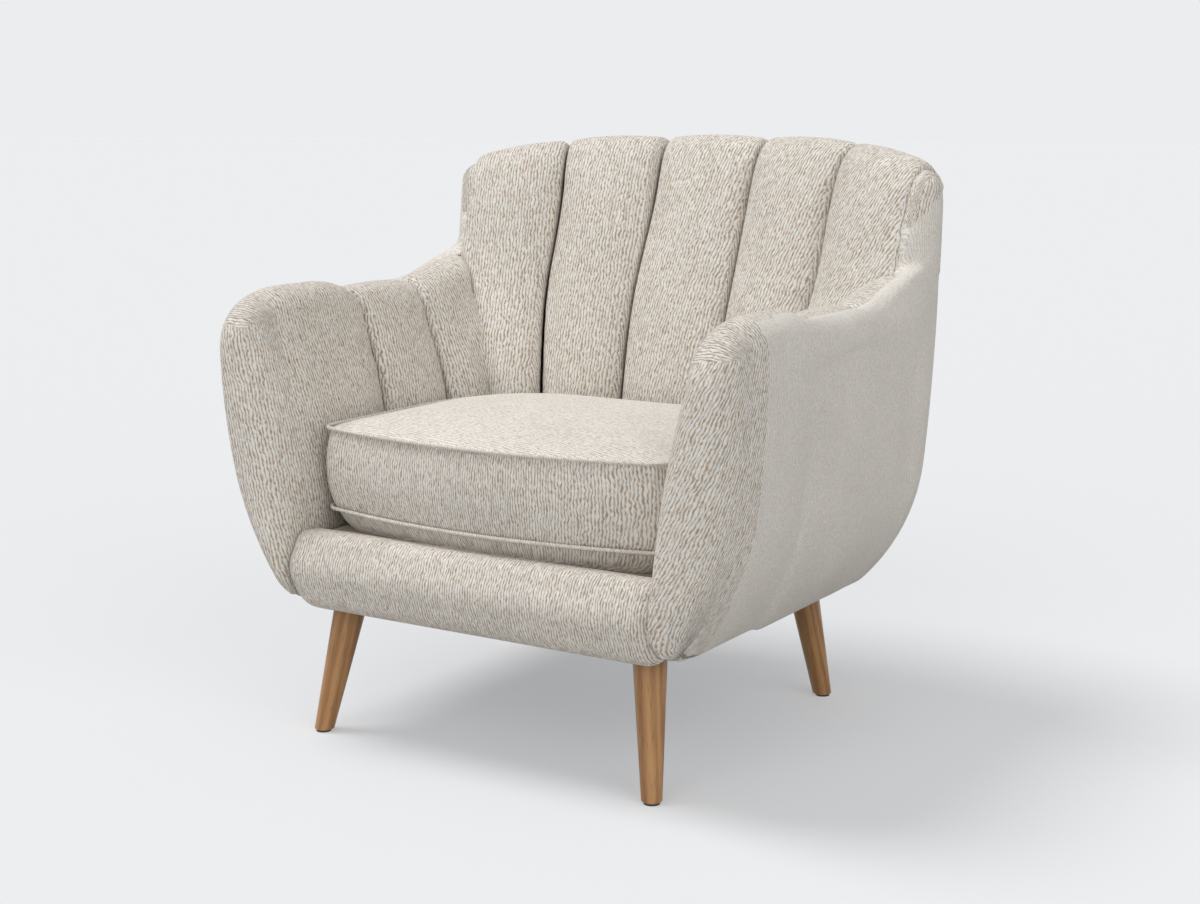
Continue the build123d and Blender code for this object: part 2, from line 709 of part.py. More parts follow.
piping_reach = PIPING_RADIUS + FIT_GAP
with BuildPart() as cushion_piping_top:
    add(piping(SEAT_HEIGHT + 1.2, 3 - piping_reach, 0, PIPING_RADIUS))
with BuildPart() as cushion_piping_bottom:
    add(piping(cushion_low - 1.2, 3 - piping_reach, 5, PIPING_RADIUS))
foam_plan = Face(cushion_plan(cushion_low + 4, CUSHION_WRAP, 4))
foam_height = CUSHION_BOXING - 6
with BuildPart() as cushion_foam:
    extrude(foam_plan, amount=foam_height, dir=(0, 0, 1))
with BuildPart() as foam_space:
    extrude(Face(cushion_plan(cushion_low + 4, CUSHION_WRAP - FIT_GAP, 4)), amount=foam_height, dir=(0, 0, 1))
with BuildPart() as cushion_cover:
    for stations in (cushion_sides, cushion_underside, cushion_top):
        loft([Face(cushion_plan(*station)) for station in stations])
    add(foam_space.part, mode=Mode.SUBTRACT)

# Zip on the rear boxing of the cushion, and the slider that runs along it
zip_half = cushion_half - CUSHION_REAR_CORNER - 4
zip_level = (SEAT_HEIGHT + cushion_low) / 2
zip_face = cushion_rear + 4.4 + FIT_GAP
with BuildPart() as zip_tape:
    with Locations((0, zip_face + 0.6, zip_level)):
        Box(2 * zip_half, 1.2, 24)
    with Locations((0, zip_face + 1.2 + 0.75, zip_level)):
        Box(2 * zip_half - 4, 1.5, 5)
with BuildPart() as zip_slider:
    with Locations((zip_half - 8, zip_face + 1.2 + FIT_GAP + 2.2, zip_level)):
        Box(9, 4.4, 12)
    with Locations((zip_half - 8, zip_face + 1.2 + FIT_GAP + 0.75, zip_level)):
        Box(9, 1.5, 5.6, mode=Mode.SUBTRACT)


# Seat deck: corner blocks, sinuous springs held by clips, padded deck and dust cover
block_x = rail_inside - BLOCK_SIZE / 2
block_front = rail_front + RAIL_THICKNESS + BLOCK_SIZE / 2
block_rear = rail_rear - RAIL_THICKNESS - BLOCK_SIZE / 2
leg_top = RAIL_BOTTOM - 1
leg_tops = {
    "front_right": (block_x + 18, block_front - 21, leg_top),
    "front_left": (-block_x - 18, block_front - 21, leg_top),
    "rear_right": (block_x + 5, block_rear + 18, leg_top),
    "rear_left": (-block_x - 5, block_rear + 18, leg_top),
}
LEG_SPLAY_SIDE = 27
LEG_SPLAY_FRONT = 39
LEG_SPLAY_REAR = 30


def leg_axis(name):
    """Plane square to a leg, at the middle of its top, its normal up the leg."""
    x, y, z = leg_tops[name]
    side = 1 if x > 0 else -1
    out = -LEG_SPLAY_FRONT if y < 0 else LEG_SPLAY_REAR
    return Plane(origin=(x, y, z), x_dir=(0, 0, 1), z_dir=(-side * LEG_SPLAY_SIDE, -out, z)), Vector(
        x + side * LEG_SPLAY_SIDE, y + out, 0
    )


def rod(axis, radius, start, end):
    """Round bar along a leg's axis, between two distances from the leg's top."""
    with BuildPart() as bar:
        with BuildSketch(axis.offset(start)):
            Circle(radius)
        extrude(amount=end - start)
    return bar.part


bolt_radius = BOLT_DIAMETER / 2
with BuildPart() as corner_blocks:
    for name, (x, y, z) in leg_tops.items():
        with Locations(
            (block_x if x > 0 else -block_x, block_front if y < 0 else block_rear, RAIL_BOTTOM + BLOCK_SIZE / 2)
        ):
            Box(BLOCK_SIZE, BLOCK_SIZE, BLOCK_SIZE)
    for name in leg_tops:
        add(rod(leg_axis(name)[0], bolt_radius + 2.7, -12, 90), mode=Mode.SUBTRACT)
with BuildPart() as leg_bolts:
    for name in leg_tops:
        add(rod(leg_axis(name)[0], bolt_radius, -42, 44))
with BuildPart() as leg_inserts:
    for name in leg_tops:
        add(rod(leg_axis(name)[0], bolt_radius + 2.5, 8, 38))
        add(rod(leg_axis(name)[0], bolt_radius + 0.2, 7, 39), mode=Mode.SUBTRACT)
dust_top = RAIL_BOTTOM
with BuildPart() as dust_cover:
    with Locations((0, rail_middle, dust_top - 0.5)):
        Box(2 * rail_outside - 6, rail_rear - rail_front - 6, 1)
    for name in leg_tops:
        add(rod(leg_axis(name)[0], bolt_radius + 3, -12, 12), mode=Mode.SUBTRACT)


def leg(name):
    """Turned tapered leg, cut level at its top and its foot, bored for its bolt and its glide."""
    axis, foot = leg_axis(name)
    length = (Vector(*leg_tops[name]) - foot).length
    slope = (LEG_TOP_DIAMETER - LEG_FOOT_DIAMETER) / 2 / length
    with BuildPart() as turned:
        with BuildSketch(axis.offset(-length - 20)):
            Circle(LEG_FOOT_DIAMETER / 2 - 20 * slope)
        with BuildSketch(axis.offset(20)):
            Circle(LEG_TOP_DIAMETER / 2 + 20 * slope)
        loft(ruled=True)
        split(bisect_by=Plane.XY.offset(leg_top), keep=Keep.BOTTOM)
        split(bisect_by=Plane.XY.offset(GLIDE_HEIGHT), keep=Keep.TOP)
        foot_edge = turned.edges().sort_by(Axis.Z)[0]
        chamfer(foot_edge, 1.6)
        add(rod(axis, bolt_radius + 0.2, -44, 40), mode=Mode.SUBTRACT)
        with Locations((foot.X, foot.Y, GLIDE_HEIGHT + 6)):
            Cylinder(1.8, 16, mode=Mode.SUBTRACT)
    return turned


front_right_leg = leg("front_right")
front_left_leg = leg("front_left")
rear_right_leg = leg("rear_right")
rear_left_leg = leg("rear_left")
with BuildPart() as foot_glides:
    for name in leg_tops:
        foot = leg_axis(name)[1]
        with Locations((foot.X, foot.Y, GLIDE_HEIGHT / 2)):
            Cylinder(LEG_FOOT_DIAMETER / 2 - 3, GLIDE_HEIGHT)
        with Locations((foot.X, foot.Y, GLIDE_HEIGHT + 5)):
            Cylinder(1.5, 10)

SPRING_COUNT = 5
SPRING_WIRE = 3.6
SPRING_SWING = 16
SPRING_BARS = 12
spring_spacing = 2 * rail_inside / (SPRING_COUNT + 0.3)
spring_lines = [spring_spacing * (n - (SPRING_COUNT - 1) / 2) for n in range(SPRING_COUNT)]
spring_start = rail_front + RAIL_THICKNESS - 8
spring_end = rail_rear - RAIL_THICKNESS + 6
spring_level = RAIL_TOP + 4
spring_pitch = (spring_end - spring_start) / (SPRING_BARS - 1)
with BuildPart() as one_spring:
    with BuildSketch(Plane.XY.offset(spring_level - SPRING_WIRE / 2)):
        for n in range(SPRING_BARS):
            y = spring_start + n * spring_pitch
            with Locations((0, y)):
                Rectangle(2 * SPRING_SWING + SPRING_WIRE, SPRING_WIRE)
            if n < SPRING_BARS - 1:
                with Locations((SPRING_SWING * (-1) ** n, y + spring_pitch / 2)):
                    Rectangle(SPRING_WIRE, spring_pitch)
    extrude(amount=SPRING_WIRE)
with BuildPart() as seat_springs:
    for x in spring_lines:
        add(one_spring.part.moved(Location((x, 0, 0))))
clip_top = spring_level + SPRING_WIRE / 2 + FIT_GAP + 1.2
with BuildPart() as spring_clips:
    for x in spring_lines:
        for y, back in ((spring_start - 1, -1), (spring_end + 1, 1)):
            with Locations((x, y, (RAIL_TOP + clip_top) / 2)):
                Box(22, 10, clip_top - RAIL_TOP)
            with Locations((x, y - 2 * back, spring_level)):
                Box(22, 10, SPRING_WIRE + 2 * FIT_GAP, mode=Mode.SUBTRACT)
deck_front = border_lap + FIT_GAP
deck_rear = cushion_rear - 4
with BuildPart() as seat_deck:
    with BuildSketch(Plane.XY.offset(clip_top + FIT_GAP)):
        with Locations((0, (deck_front + deck_rear) / 2)):
            Rectangle(2 * (cushion_half - 4), deck_rear - deck_front)
    extrude(amount=DECK_TOP - clip_top - FIT_GAP)
    fillet(seat_deck.edges().filter_by(Axis.Z).sort_by(Axis.Y)[-2:], radius=CUSHION_REAR_CORNER - 20)

# Back frame: shaped posts behind the rear rail, tack rail, curved top rail and webbing
post_outside = rail_inside - 4
post_x = post_outside - POST_WIDTH / 2
TOP_RAIL = 26
top_rail_low = BACK_ROLL_LEVEL - TOP_RAIL / 2
post_low = RAIL_BOTTOM + 45
post_foot = BACK_BASE + 41
post_head = plan_arc(post_x) - TOP_RAIL / 2
with BuildPart() as right_back_post:
    with BuildSketch(Plane(origin=(post_x, 0, 0), x_dir=(0, 1, 0), z_dir=(1, 0, 0))):
        Polygon(
            (rail_rear, post_low),
            (rail_rear + 30, post_low),
            (post_foot + 30, SHELL_BASE),
            (post_head + TOP_RAIL, top_rail_low),
            (post_head, top_rail_low),
            (post_foot, SHELL_BASE),
            (rail_rear, RAIL_TOP),
            align=None,
        )
    extrude(amount=POST_WIDTH / 2, both=True)
with BuildPart() as back_tack_rail:
    with Locations((0, rail_rear - 6, (RAIL_TOP + SHELL_BASE - FIT_GAP) / 2)):
        Box(2 * post_outside, 12, SHELL_BASE - FIT_GAP - RAIL_TOP)
arc_centre = plan_arc(0) - BACK_PLAN_RADIUS
swing = post_outside / BACK_PLAN_RADIUS


def on_arc(radius, turn):
    """Point of the back's plan arc at a turn from the middle."""
    return radius * sin(turn), arc_centre + radius * cos(turn)


with BuildPart() as back_top_rail:
    with BuildSketch(Plane.XY.offset(top_rail_low)):
        with BuildLine():
            inner = BACK_PLAN_RADIUS - TOP_RAIL / 2
            outer = BACK_PLAN_RADIUS + TOP_RAIL / 2
            ThreePointArc(on_arc(inner, -swing), on_arc(inner, 0), on_arc(inner, swing))
            Line(on_arc(inner, swing), on_arc(outer, swing))
            ThreePointArc(on_arc(outer, swing), on_arc(outer, 0), on_arc(outer, -swing))
            Line(on_arc(outer, -swing), on_arc(inner, -swing))
        make_face()
    extrude(amount=TOP_RAIL)
STRAP_WIDTH = 50
STRAP_COUNT = 4
STRAP_THICKNESS = 2
strap_foot = rail_rear + FIT_GAP
with BuildPart() as back_webbing:
    for n in range(STRAP_COUNT):
        x = 110 * (n - (STRAP_COUNT - 1) / 2)
        strap_head = plan_arc(abs(x) - STRAP_WIDTH / 2) + TOP_RAIL / 2 + 1
        with BuildSketch(Plane(origin=(x, 0, 0), x_dir=(0, 1, 0), z_dir=(1, 0, 0))):
            Polygon(
                (strap_foot, RAIL_TOP - 20),
                (strap_foot + STRAP_THICKNESS, RAIL_TOP - 20),
                (strap_foot + STRAP_THICKNESS, SHELL_BASE),
                (strap_head + STRAP_THICKNESS, top_rail_low),
                (strap_head + STRAP_THICKNESS, top_rail_low + 8),
                (strap_head, top_rail_low + 8),
                (strap_head, top_rail_low),
                (strap_foot, SHELL_BASE),
                align=None,
            )
        extrude(amount=STRAP_WIDTH / 2, both=True)


def publish(builder, name):
    """Write one named piece."""
    builder.part.label = name
    export_step(builder.part, f"parts/{name}.step")


publish(back_channel_1, "back_channel_1")
publish(back_channel_2, "back_channel_2")
publish(back_channel_3, "back_channel_3")
publish(back_channel_4, "back_channel_4")
publish(back_channel_5, "back_channel_5")
publish(outside_back, "outside_back")
publish(front_border, "front_border")
publish(front_rail, "front_rail")
publish(rear_rail, "rear_rail")
publish(frame_screws, "frame_screws")
publish(cushion_cover, "cushion_cover")
publish(cushion_foam, "cushion_foam")
publish(cushion_piping_top, "cushion_piping_top")
publish(cushion_piping_bottom, "cushion_piping_bottom")
publish(zip_tape, "zip_tape")
publish(zip_slider, "zip_slider")
publish(corner_blocks, "corner_blocks")
publish(leg_bolts, "leg_bolts")
publish(leg_inserts, "leg_inserts")
publish(dust_cover, "dust_cover")
publish(front_right_leg, "front_right_leg")
publish(front_left_leg, "front_left_leg")
publish(rear_right_leg, "rear_right_leg")
publish(rear_left_leg, "rear_left_leg")
publish(foot_glides, "foot_glides")
publish(seat_springs, "seat_springs")
publish(spring_clips, "spring_clips")
publish(seat_deck, "seat_deck")
publish(back_tack_rail, "back_tack_rail")
publish(back_top_rail, "back_top_rail")
publish(back_webbing, "back_webbing")
for right, name in [
    (right_arm_channel_rear, "arm_channel_rear"),
    (right_arm_channel_front, "arm_channel_front"),
    (right_arm_roll, "arm_roll"),
    (right_outside_arm, "outside_arm"),
    (right_wing_panel, "wing_panel"),
    (right_side_rail, "side_rail"),
    (right_front_board, "front_arm_board"),
    (right_rear_board, "rear_arm_board"),
    (right_arm_rail, "arm_rail"),
    (right_back_post, "back_post"),
]:
    publish(right, f"right_{name}")
    with BuildPart() as left:
        mirror(right.part, about=Plane.YZ)
    publish(left, f"left_{name}")
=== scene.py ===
"""Dresses the channel back armchair: ribbed cream cloth over padded channels, arms, border and seat
cushion, satin oak legs, and plain finishes for the frame, springs, lining and fittings inside."""

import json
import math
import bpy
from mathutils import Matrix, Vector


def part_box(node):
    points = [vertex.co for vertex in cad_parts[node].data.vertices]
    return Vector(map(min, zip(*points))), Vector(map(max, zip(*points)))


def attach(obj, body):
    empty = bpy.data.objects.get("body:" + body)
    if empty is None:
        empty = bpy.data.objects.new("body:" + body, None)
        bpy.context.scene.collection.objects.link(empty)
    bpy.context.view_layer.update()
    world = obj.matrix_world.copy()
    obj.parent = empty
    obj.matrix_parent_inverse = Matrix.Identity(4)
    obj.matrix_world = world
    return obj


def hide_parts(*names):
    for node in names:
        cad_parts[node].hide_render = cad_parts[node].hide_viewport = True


bl_info = {
    "name": "Channel back armchair",
    "version": (1, 0, 0),
    "blender": (4, 5, 0),
    "location": "View3D > Sidebar > Armchair",
    "description": "Upholsters and finishes the channel back armchair piece by piece",
    "category": "Object",
}

import bmesh
import bpy
import numpy as np
from bpy.props import FloatProperty, FloatVectorProperty, IntProperty, PointerProperty
from mathutils import Vector
from mathutils.bvhtree import BVHTree

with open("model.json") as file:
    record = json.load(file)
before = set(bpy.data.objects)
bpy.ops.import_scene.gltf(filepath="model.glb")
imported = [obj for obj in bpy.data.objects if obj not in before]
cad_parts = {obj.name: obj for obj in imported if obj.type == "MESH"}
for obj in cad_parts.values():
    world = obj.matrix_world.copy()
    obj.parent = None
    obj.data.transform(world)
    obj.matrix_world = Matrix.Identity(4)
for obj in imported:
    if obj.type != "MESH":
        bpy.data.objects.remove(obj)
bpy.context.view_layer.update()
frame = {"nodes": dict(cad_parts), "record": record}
NODES = frame["nodes"]
SIDES = ("left", "right")
CHANNELS = range(1, 6)

# Values of the object's own geometry, in metres, that the cloth has to follow.
# Rear corner in plan: centre and radius
CORNER = (0.260, 0.185)
CORNER_REACH = 0.172
# Roll along the arm's top: centre across and in height, radius, and the rise towards the back
ARM_CENTRE = 0.388
ARM_TOP_CENTRE = 0.601
ARM_TOP_REACH = 0.047
ARM_RISE = 0.028
ARM_RISE_LENGTH = 0.19
# Front of the arm roll: centre in depth and radius, and how far back the roll is lapped by the cover
NOSE_CENTRE = -0.335
NOSE_REACH = 0.062
ROLL_REAR = -0.221
COVER_LAP = 0.042
# Crest of a back channel: from its top down to the centre of its roll, and the roll's radius
CREST_DROP = 0.050
CREST_REACH = 0.048
# Rear edge of a back channel that the outside back is stretched to, wider on the two end channels
LIP_REACH = 0.016
END_LIP_REACH = 0.035
# Outside cover: how far it is tucked where hidden, how far it rises from there where shown, its thickness
COVER_TUCK = 0.007
COVER_RISE = 0.0074
COVER_THICKNESS = 0.005
# Cushion in plan: its middle in depth, and its usual reach from there
CUSHION_CENTRE = -0.10
CUSHION_REACH = 0.29
# Flap of the deck's cloth: growth beside the arm rolls, more of it behind them, and growth to the rear
DECK_BESIDE = 1.032
DECK_BEHIND = 0.156
DECK_REARWARD = 0.373
# Shifts, in metres of cloth, that give each channel, channel end and side its own stretch of ribs
CHANNEL_SHIFT = 0.37
END_SHIFT = 0.2
LEFT_SHIFT = 3.7
# How squarely a point has to face a way to count as an end face or a seam face
END_FACING = 0.72
SEAM_FACING = 0.7
# Lean of the ribs on each back channel and on the front of each arm, sideways for each step up
CHANNEL_LEAN = (0.0, 0.04, 0.15, 0.20, 0.34)
NOSE_LEAN = {"left": 0.10, "right": 0.36}
# Camera: place in metres, turn from the front and pitch in degrees, lens and sensor in millimetres
CAMERA_PLACE = (1.470, -2.356, 0.893)
CAMERA_TURN = 32.125
CAMERA_PITCH = 10.201
CAMERA_LENS = 56.06
CAMERA_SENSOR = 36


class ArmchairSettings(bpy.types.PropertyGroup):
    """Sizes and colours of the upholstery and finishes."""

    grain: FloatProperty(
        name="Remesh size",
        description="Spacing of the points that padded pieces are remade with",
        default=0.0065,
        min=0.003,
        unit="LENGTH",
    )
    channel_swell: FloatProperty(
        name="Channel swell",
        description="Furthest that the filling pushes the cloth of a channel outwards",
        default=0.005,
        unit="LENGTH",
    )
    cushion_swell: FloatProperty(
        name="Cushion swell",
        description="Furthest that the filling pushes the cloth of the seat cushion outwards",
        default=0.012,
        unit="LENGTH",
    )
    cushion_sag: FloatProperty(
        name="Cushion sag",
        description="How far the front of the cushion's bottom panel sags on the border",
        default=0.014,
        unit="LENGTH",
    )
    pressure: FloatProperty(
        name="Filling pressure",
        description="Pressure of the filling on the cloth",
        default=4.0,
    )
    settle_frames: IntProperty(
        name="Settling frames",
        description="Frames that the cloth settles for",
        default=20,
    )
    rib_width: FloatProperty(
        name="Rib width",
        description="Spacing of the ribs in the upholstery cloth",
        default=0.0025,
        unit="LENGTH",
    )
    rib_length: FloatProperty(
        name="Rib length",
        description="Usual length of a rib before it breaks or joins the next",
        default=0.0055,
        unit="LENGTH",
    )
    cloth_pale: FloatVectorProperty(
        name="Rib colour",
        description="Colour on top of the ribs",
        subtype="COLOR",
        size=3,
        default=(0.80, 0.763, 0.710),
    )
    # Painted shade: the colour that darkens the hollows between the ribs, standing in for the shade that
    # falls there
    painted_valley_shade: FloatVectorProperty(
        name="Valley colour",
        description="Colour between the ribs",
        subtype="COLOR",
        size=3,
        default=(0.40, 0.311, 0.227),
    )
    oak_pale: FloatVectorProperty(
        name="Oak early wood",
        description="Colour of the paler grain of the legs",
        subtype="COLOR",
        size=3,
        default=(0.44, 0.235, 0.090),
    )
    oak_dark: FloatVectorProperty(
        name="Oak late wood",
        description="Colour of the darker grain of the legs",
        subtype="COLOR",
        size=3,
        default=(0.23, 0.10, 0.034),
    )
    floor: FloatVectorProperty(
        name="Floor",
        description="Colour of the studio floor and backdrop",
        subtype="COLOR",
        size=3,
        default=(0.836, 0.846, 0.863),
    )


# Mesh helpers


def points_of(mesh):
    """Vertex positions as an array."""
    found = np.empty(len(mesh.vertices) * 3, np.float32)
    mesh.vertices.foreach_get("co", found)
    return found.reshape(-1, 3).astype(float)


def normals_of(mesh):
    """Vertex normals as an array."""
    found = np.empty(len(mesh.vertices) * 3, np.float32)
    mesh.vertex_normals.foreach_get("vector", found)
    return found.reshape(-1, 3).astype(float)


def move_points(mesh, places):
    """Puts the vertices at new places."""
    mesh.vertices.foreach_set("co", np.ascontiguousarray(places, np.float32).ravel())
    mesh.update()


def new_object(name, bm):
    """Object at the origin from a bmesh, which is freed."""
    mesh = bpy.data.meshes.new(name)
    bm.to_mesh(mesh)
    bm.free()
    made = bpy.data.objects.new(name, mesh)
    bpy.context.scene.collection.objects.link(made)
    return made


def lapped(sign, front, rear=1.0):
    """Picks the outer half of an arm's top between two depths."""

    def pick(places):
        high = (sign * places[:, 0] > ARM_CENTRE + 0.020) & (places[:, 2] > ARM_TOP_CENTRE - 0.03)
        return high & (places[:, 1] > front) & (places[:, 1] < rear)

    return pick


def beyond(sign, out, depth=-1.0, height=0.0):
    """Picks what lies further out on one side, further back and higher up than given."""

    def pick(places):
        return (sign * places[:, 0] > out) & (places[:, 1] > depth) & (places[:, 2] > height)

    return pick


def copy_of(name, *nodes, bridges=()):
    """New object from merged copies of CAD meshes, with hulls that bridge hollows between two of them."""
    bm = bmesh.new()
    for node in nodes:
        bm.from_mesh(NODES[node].data)
    bmesh.ops.remove_doubles(bm, verts=bm.verts, dist=0.00002)
    for first, pick_first, second, pick_second in bridges:
        places = [points_of(NODES[node].data) for node in (first, second)]
        chosen = np.concatenate([places[0][pick_first(places[0])], places[1][pick_second(places[1])]])
        corners = [bm.verts.new(place) for place in np.unique(np.round(chosen, 4), axis=0)]
        made = bmesh.ops.convex_hull(bm, input=corners)
        spare = [found for found in made["geom_interior"] if isinstance(found, bmesh.types.BMVert)]
        bmesh.ops.delete(bm, geom=spare, context="VERTS")
    return new_object(name, bm)


def bake_modifiers(piece):
    """Replaces the mesh by what its modifiers make of it."""
    shown = piece.evaluated_get(bpy.context.evaluated_depsgraph_get())
    made = bpy.data.meshes.new_from_object(shown)
    old = piece.data
    piece.modifiers.clear()
    piece.data = made
    bpy.data.meshes.remove(old)
    made.name = piece.name


def remade(piece, size, rounds):
    """Voxel remesh, then relax the corners so the cloth runs over them in a soft curve."""
    mesher = piece.modifiers.new("remesh", "REMESH")
    mesher.mode = "VOXEL"
    mesher.voxel_size = size
    soften = piece.modifiers.new("soften", "SMOOTH")
    soften.factor = 0.5
    soften.iterations = rounds
    bake_modifiers(piece)


def filled(piece, settings, held, cap):
    """Lets the filling swell the cloth, by cap at most.
    held is 1 where a seam or the frame holds a point, and 0 where it is free."""
    start = points_of(piece.data)
    group = piece.vertex_groups.new(name="held")
    for level in np.unique(np.round(held, 1)):
        chosen = np.nonzero(np.round(held, 1) == level)[0]
        if level > 0:
            group.add(chosen.tolist(), float(level), "REPLACE")
    cloth = piece.modifiers.new("filling", "CLOTH")
    how = cloth.settings
    how.quality = 5
    how.mass = 0.25
    how.tension_stiffness = 20
    how.compression_stiffness = 20
    how.shear_stiffness = 8
    how.bending_stiffness = 0.6
    how.use_pressure = True
    how.uniform_pressure_force = settings.pressure
    how.effector_weights.gravity = 0
    how.vertex_group_mass = group.name
    cloth.collision_settings.use_collision = False
    cloth.point_cache.frame_start = 1
    cloth.point_cache.frame_end = settings.settle_frames
    scene = bpy.context.scene
    for step in range(1, settings.settle_frames + 1):
        scene.frame_set(step)
    shown = piece.evaluated_get(bpy.context.evaluated_depsgraph_get())
    moved = points_of(shown.data) - start
    piece.modifiers.clear()
    piece.vertex_groups.clear()
    scene.frame_set(1)
    reach = np.linalg.norm(moved, axis=1, keepdims=True)
    moved *= np.minimum(1, cap / np.maximum(reach, 1e-9))
    move_points(piece.data, start + moved)


def neighbours_mean(mesh, values, rounds):
    """Evens out values over the mesh."""
    ends = np.empty(len(mesh.edges) * 2, np.int32)
    mesh.edges.foreach_get("vertices", ends)
    first, second = ends[0::2], ends[1::2]
    count = np.bincount(ends, minlength=len(values)).clip(1)
    for _ in range(rounds):
        total = np.bincount(first, values[second], len(values))
        total += np.bincount(second, values[first], len(values))
        values = 0.5 * values + 0.5 * total / count
    return values


def away(places):
    """Direction away from the middle of the chair in plan."""
    side = np.abs(places[:, 0]) - CORNER[0]
    back = np.maximum(places[:, 1] - CORNER[1], 0)
    found = np.stack([np.where(back > 0, side, 1) * np.sign(places[:, 0]), back, np.zeros(len(back))], 1)
    return found / np.linalg.norm(found, axis=1, keepdims=True)


def cut_to_sheet(piece, kept, thickness):
    """Keeps the largest connected stretch of the chosen points and gives it a thickness inwards."""
    bm = bmesh.new()
    bm.from_mesh(piece.data)
    bm.verts.ensure_lookup_table()
    bmesh.ops.delete(bm, geom=[bm.verts[i] for i in np.nonzero(~kept)[0]], context="VERTS")
    left = set(bm.verts)
    stretches = []
    while left:
        reached = {left.pop()}
        edge = list(reached)
        while edge:
            near = {link.other_vert(corner) for corner in edge for link in corner.link_edges} - reached
            reached |= near
            edge = list(near)
        left -= reached
        stretches.append(reached)
    stretches.sort(key=len)
    spare = [corner for stretch in stretches[:-1] for corner in stretch]
    bmesh.ops.delete(bm, geom=spare, context="VERTS")
    bm.to_mesh(piece.data)
    bm.free()
    wall = piece.modifiers.new("thickness", "SOLIDIFY")
    wall.thickness = thickness
    wall.offset = -1
    bake_modifiers(piece)


def cover_share(piece, own, arms, under, sign, facing):
    """1 where the outside cover shows, 0 where it is tucked under the arm and back padding, soft between."""
    trees = []
    for nodes in (own, arms, under):
        bm = bmesh.new()
        for node in nodes:
            bm.from_mesh(NODES[node].data)
        trees.append(BVHTree.FromBMesh(bm))
        bm.free()
    places = points_of(piece.data)
    gaps = np.array([[tree.find_nearest(Vector(place))[3] for tree in trees] for place in places])
    nearest = gaps.argmin(1)
    outer = sign * places[:, 0] > ARM_CENTRE + 0.012
    bridged = (gaps.min(1) > 0.005) & (places[:, 2] > ARM_TOP_CENTRE)
    flank = (facing * away(places)).sum(1) > 0.2
    lap = (nearest == 2) & flank & (places[:, 1] > ROLL_REAR - COVER_LAP) & (places[:, 1] < 0)
    share = np.where((nearest == 0) | ((nearest == 1) & outer) | bridged | lap, 1.0, 0.0)
    return neighbours_mean(piece.data, share, 6)


def lay_threads(piece, cloth, *others):
    """Keeps where each face corner lies in the cloth: metres across the ribs and along them.
    Each of the others is a choice of points and the cloth that their faces take, up to a seam."""
    mesh = piece.data
    corners = np.empty(len(mesh.loops), np.int32)
    mesh.loops.foreach_get("vertex_index", corners)
    flat = np.zeros(len(mesh.vertices))
    both = np.stack([*cloth, flat], 1)[corners]
    for chosen, other in others:
        mine = chosen_corners(mesh, corners, chosen)
        both[mine] = np.stack([*other, flat], 1)[corners[mine]]
    kept = mesh.attributes.new("thread", "FLOAT_VECTOR", "CORNER")
    kept.data.foreach_set("vector", np.ascontiguousarray(both, np.float32).ravel())


def chosen_corners(mesh, corners, chosen):
    """Corners of the faces whose points are mostly chosen."""
    totals = np.empty(len(mesh.polygons), np.int32)
    mesh.polygons.foreach_get("loop_total", totals)
    owner = np.repeat(np.arange(len(totals)), totals)
    share = np.bincount(owner, chosen[corners].astype(float), len(totals)) / totals
    return (share > 0.5)[owner]


def finished(piece, body, material, replaced, subdivide=1):
    """Smooth shading, material, subdivision, body and hidden replaced nodes."""
    mesh = piece.data
    mesh.materials.clear()
    mesh.materials.append(material)
    mesh.polygons.foreach_set("material_index", np.zeros(len(mesh.polygons), np.int32))
    mesh.polygons.foreach_set("use_smooth", np.ones(len(mesh.polygons), bool))
    if subdivide:
        finer = piece.modifiers.new("finer", "SUBSURF")
        finer.levels = subdivide
        finer.render_levels = subdivide
    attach(piece, body)
    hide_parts(*replaced)


def choose_material(mesh, points, index):
    """Gives faces whose corners are mostly among the chosen points another material slot."""
    for face in mesh.polygons:
        if points[list(face.vertices)].mean() > 0.5:
            face.material_index = index


def channel_plan(number):
    """Points of a back channel, its middle stretch in plan, the centre of that, and the ways across
    and to the rear."""
    own = points_of(NODES[f"back_channel_{number}"].data)
    middle = own[(own[:, 2] > 0.5) & (own[:, 2] < 0.7)][:, :2]
    centre = middle.mean(0)
    sideways = np.linalg.svd(middle - centre, full_matrices=False)[2][0]
    sideways = sideways * np.sign(sideways[0])
    rearward = np.array([-sideways[1], sideways[0]])
    return own, middle, centre, sideways, rearward * np.sign(rearward[1])


def rear_lip(number, reach):
    """Picks the rear edge of a back channel, where it has rolled over the crest."""
    _, _, centre, _, rearward = channel_plan(number)

    def pick(places):
        back = (places[:, :2] - centre) @ rearward
        return back > back.max() - reach

    return pick


def below_channel(number, depth=0.014):
    """Picks the top edge of the outside back that lies behind a back channel."""
    low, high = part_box(f"back_channel_{number}")

    def pick(places):
        behind = (places[:, 0] > low.x - 0.008) & (places[:, 0] < high.x + 0.008)
        return behind & (places[:, 2] > places[:, 2].max() - depth)

    return pick


def tucked_beside(node, sign, reach=0.024, behind=0.016, step=0.02):
    """Picks points close to another node, but not those at the front of the crease between the two."""
    bm = bmesh.new()
    bm.from_mesh(NODES[node].data)
    tree = BVHTree.FromBMesh(bm)
    bm.free()

    def pick(places):
        near = np.array([tree.find_nearest(Vector(place))[3] < reach for place in places])
        near &= places[:, 2] < ARM_TOP_CENTRE
        deep = 0.6 * sign * places[:, 0] + 0.8 * places[:, 1]
        levels = np.round(places[:, 2] / step)
        for level in np.unique(levels[near]):
            mine = near & (levels == level)
            near[mine] = deep[mine] > deep[mine].min() + behind
        return near

    return pick


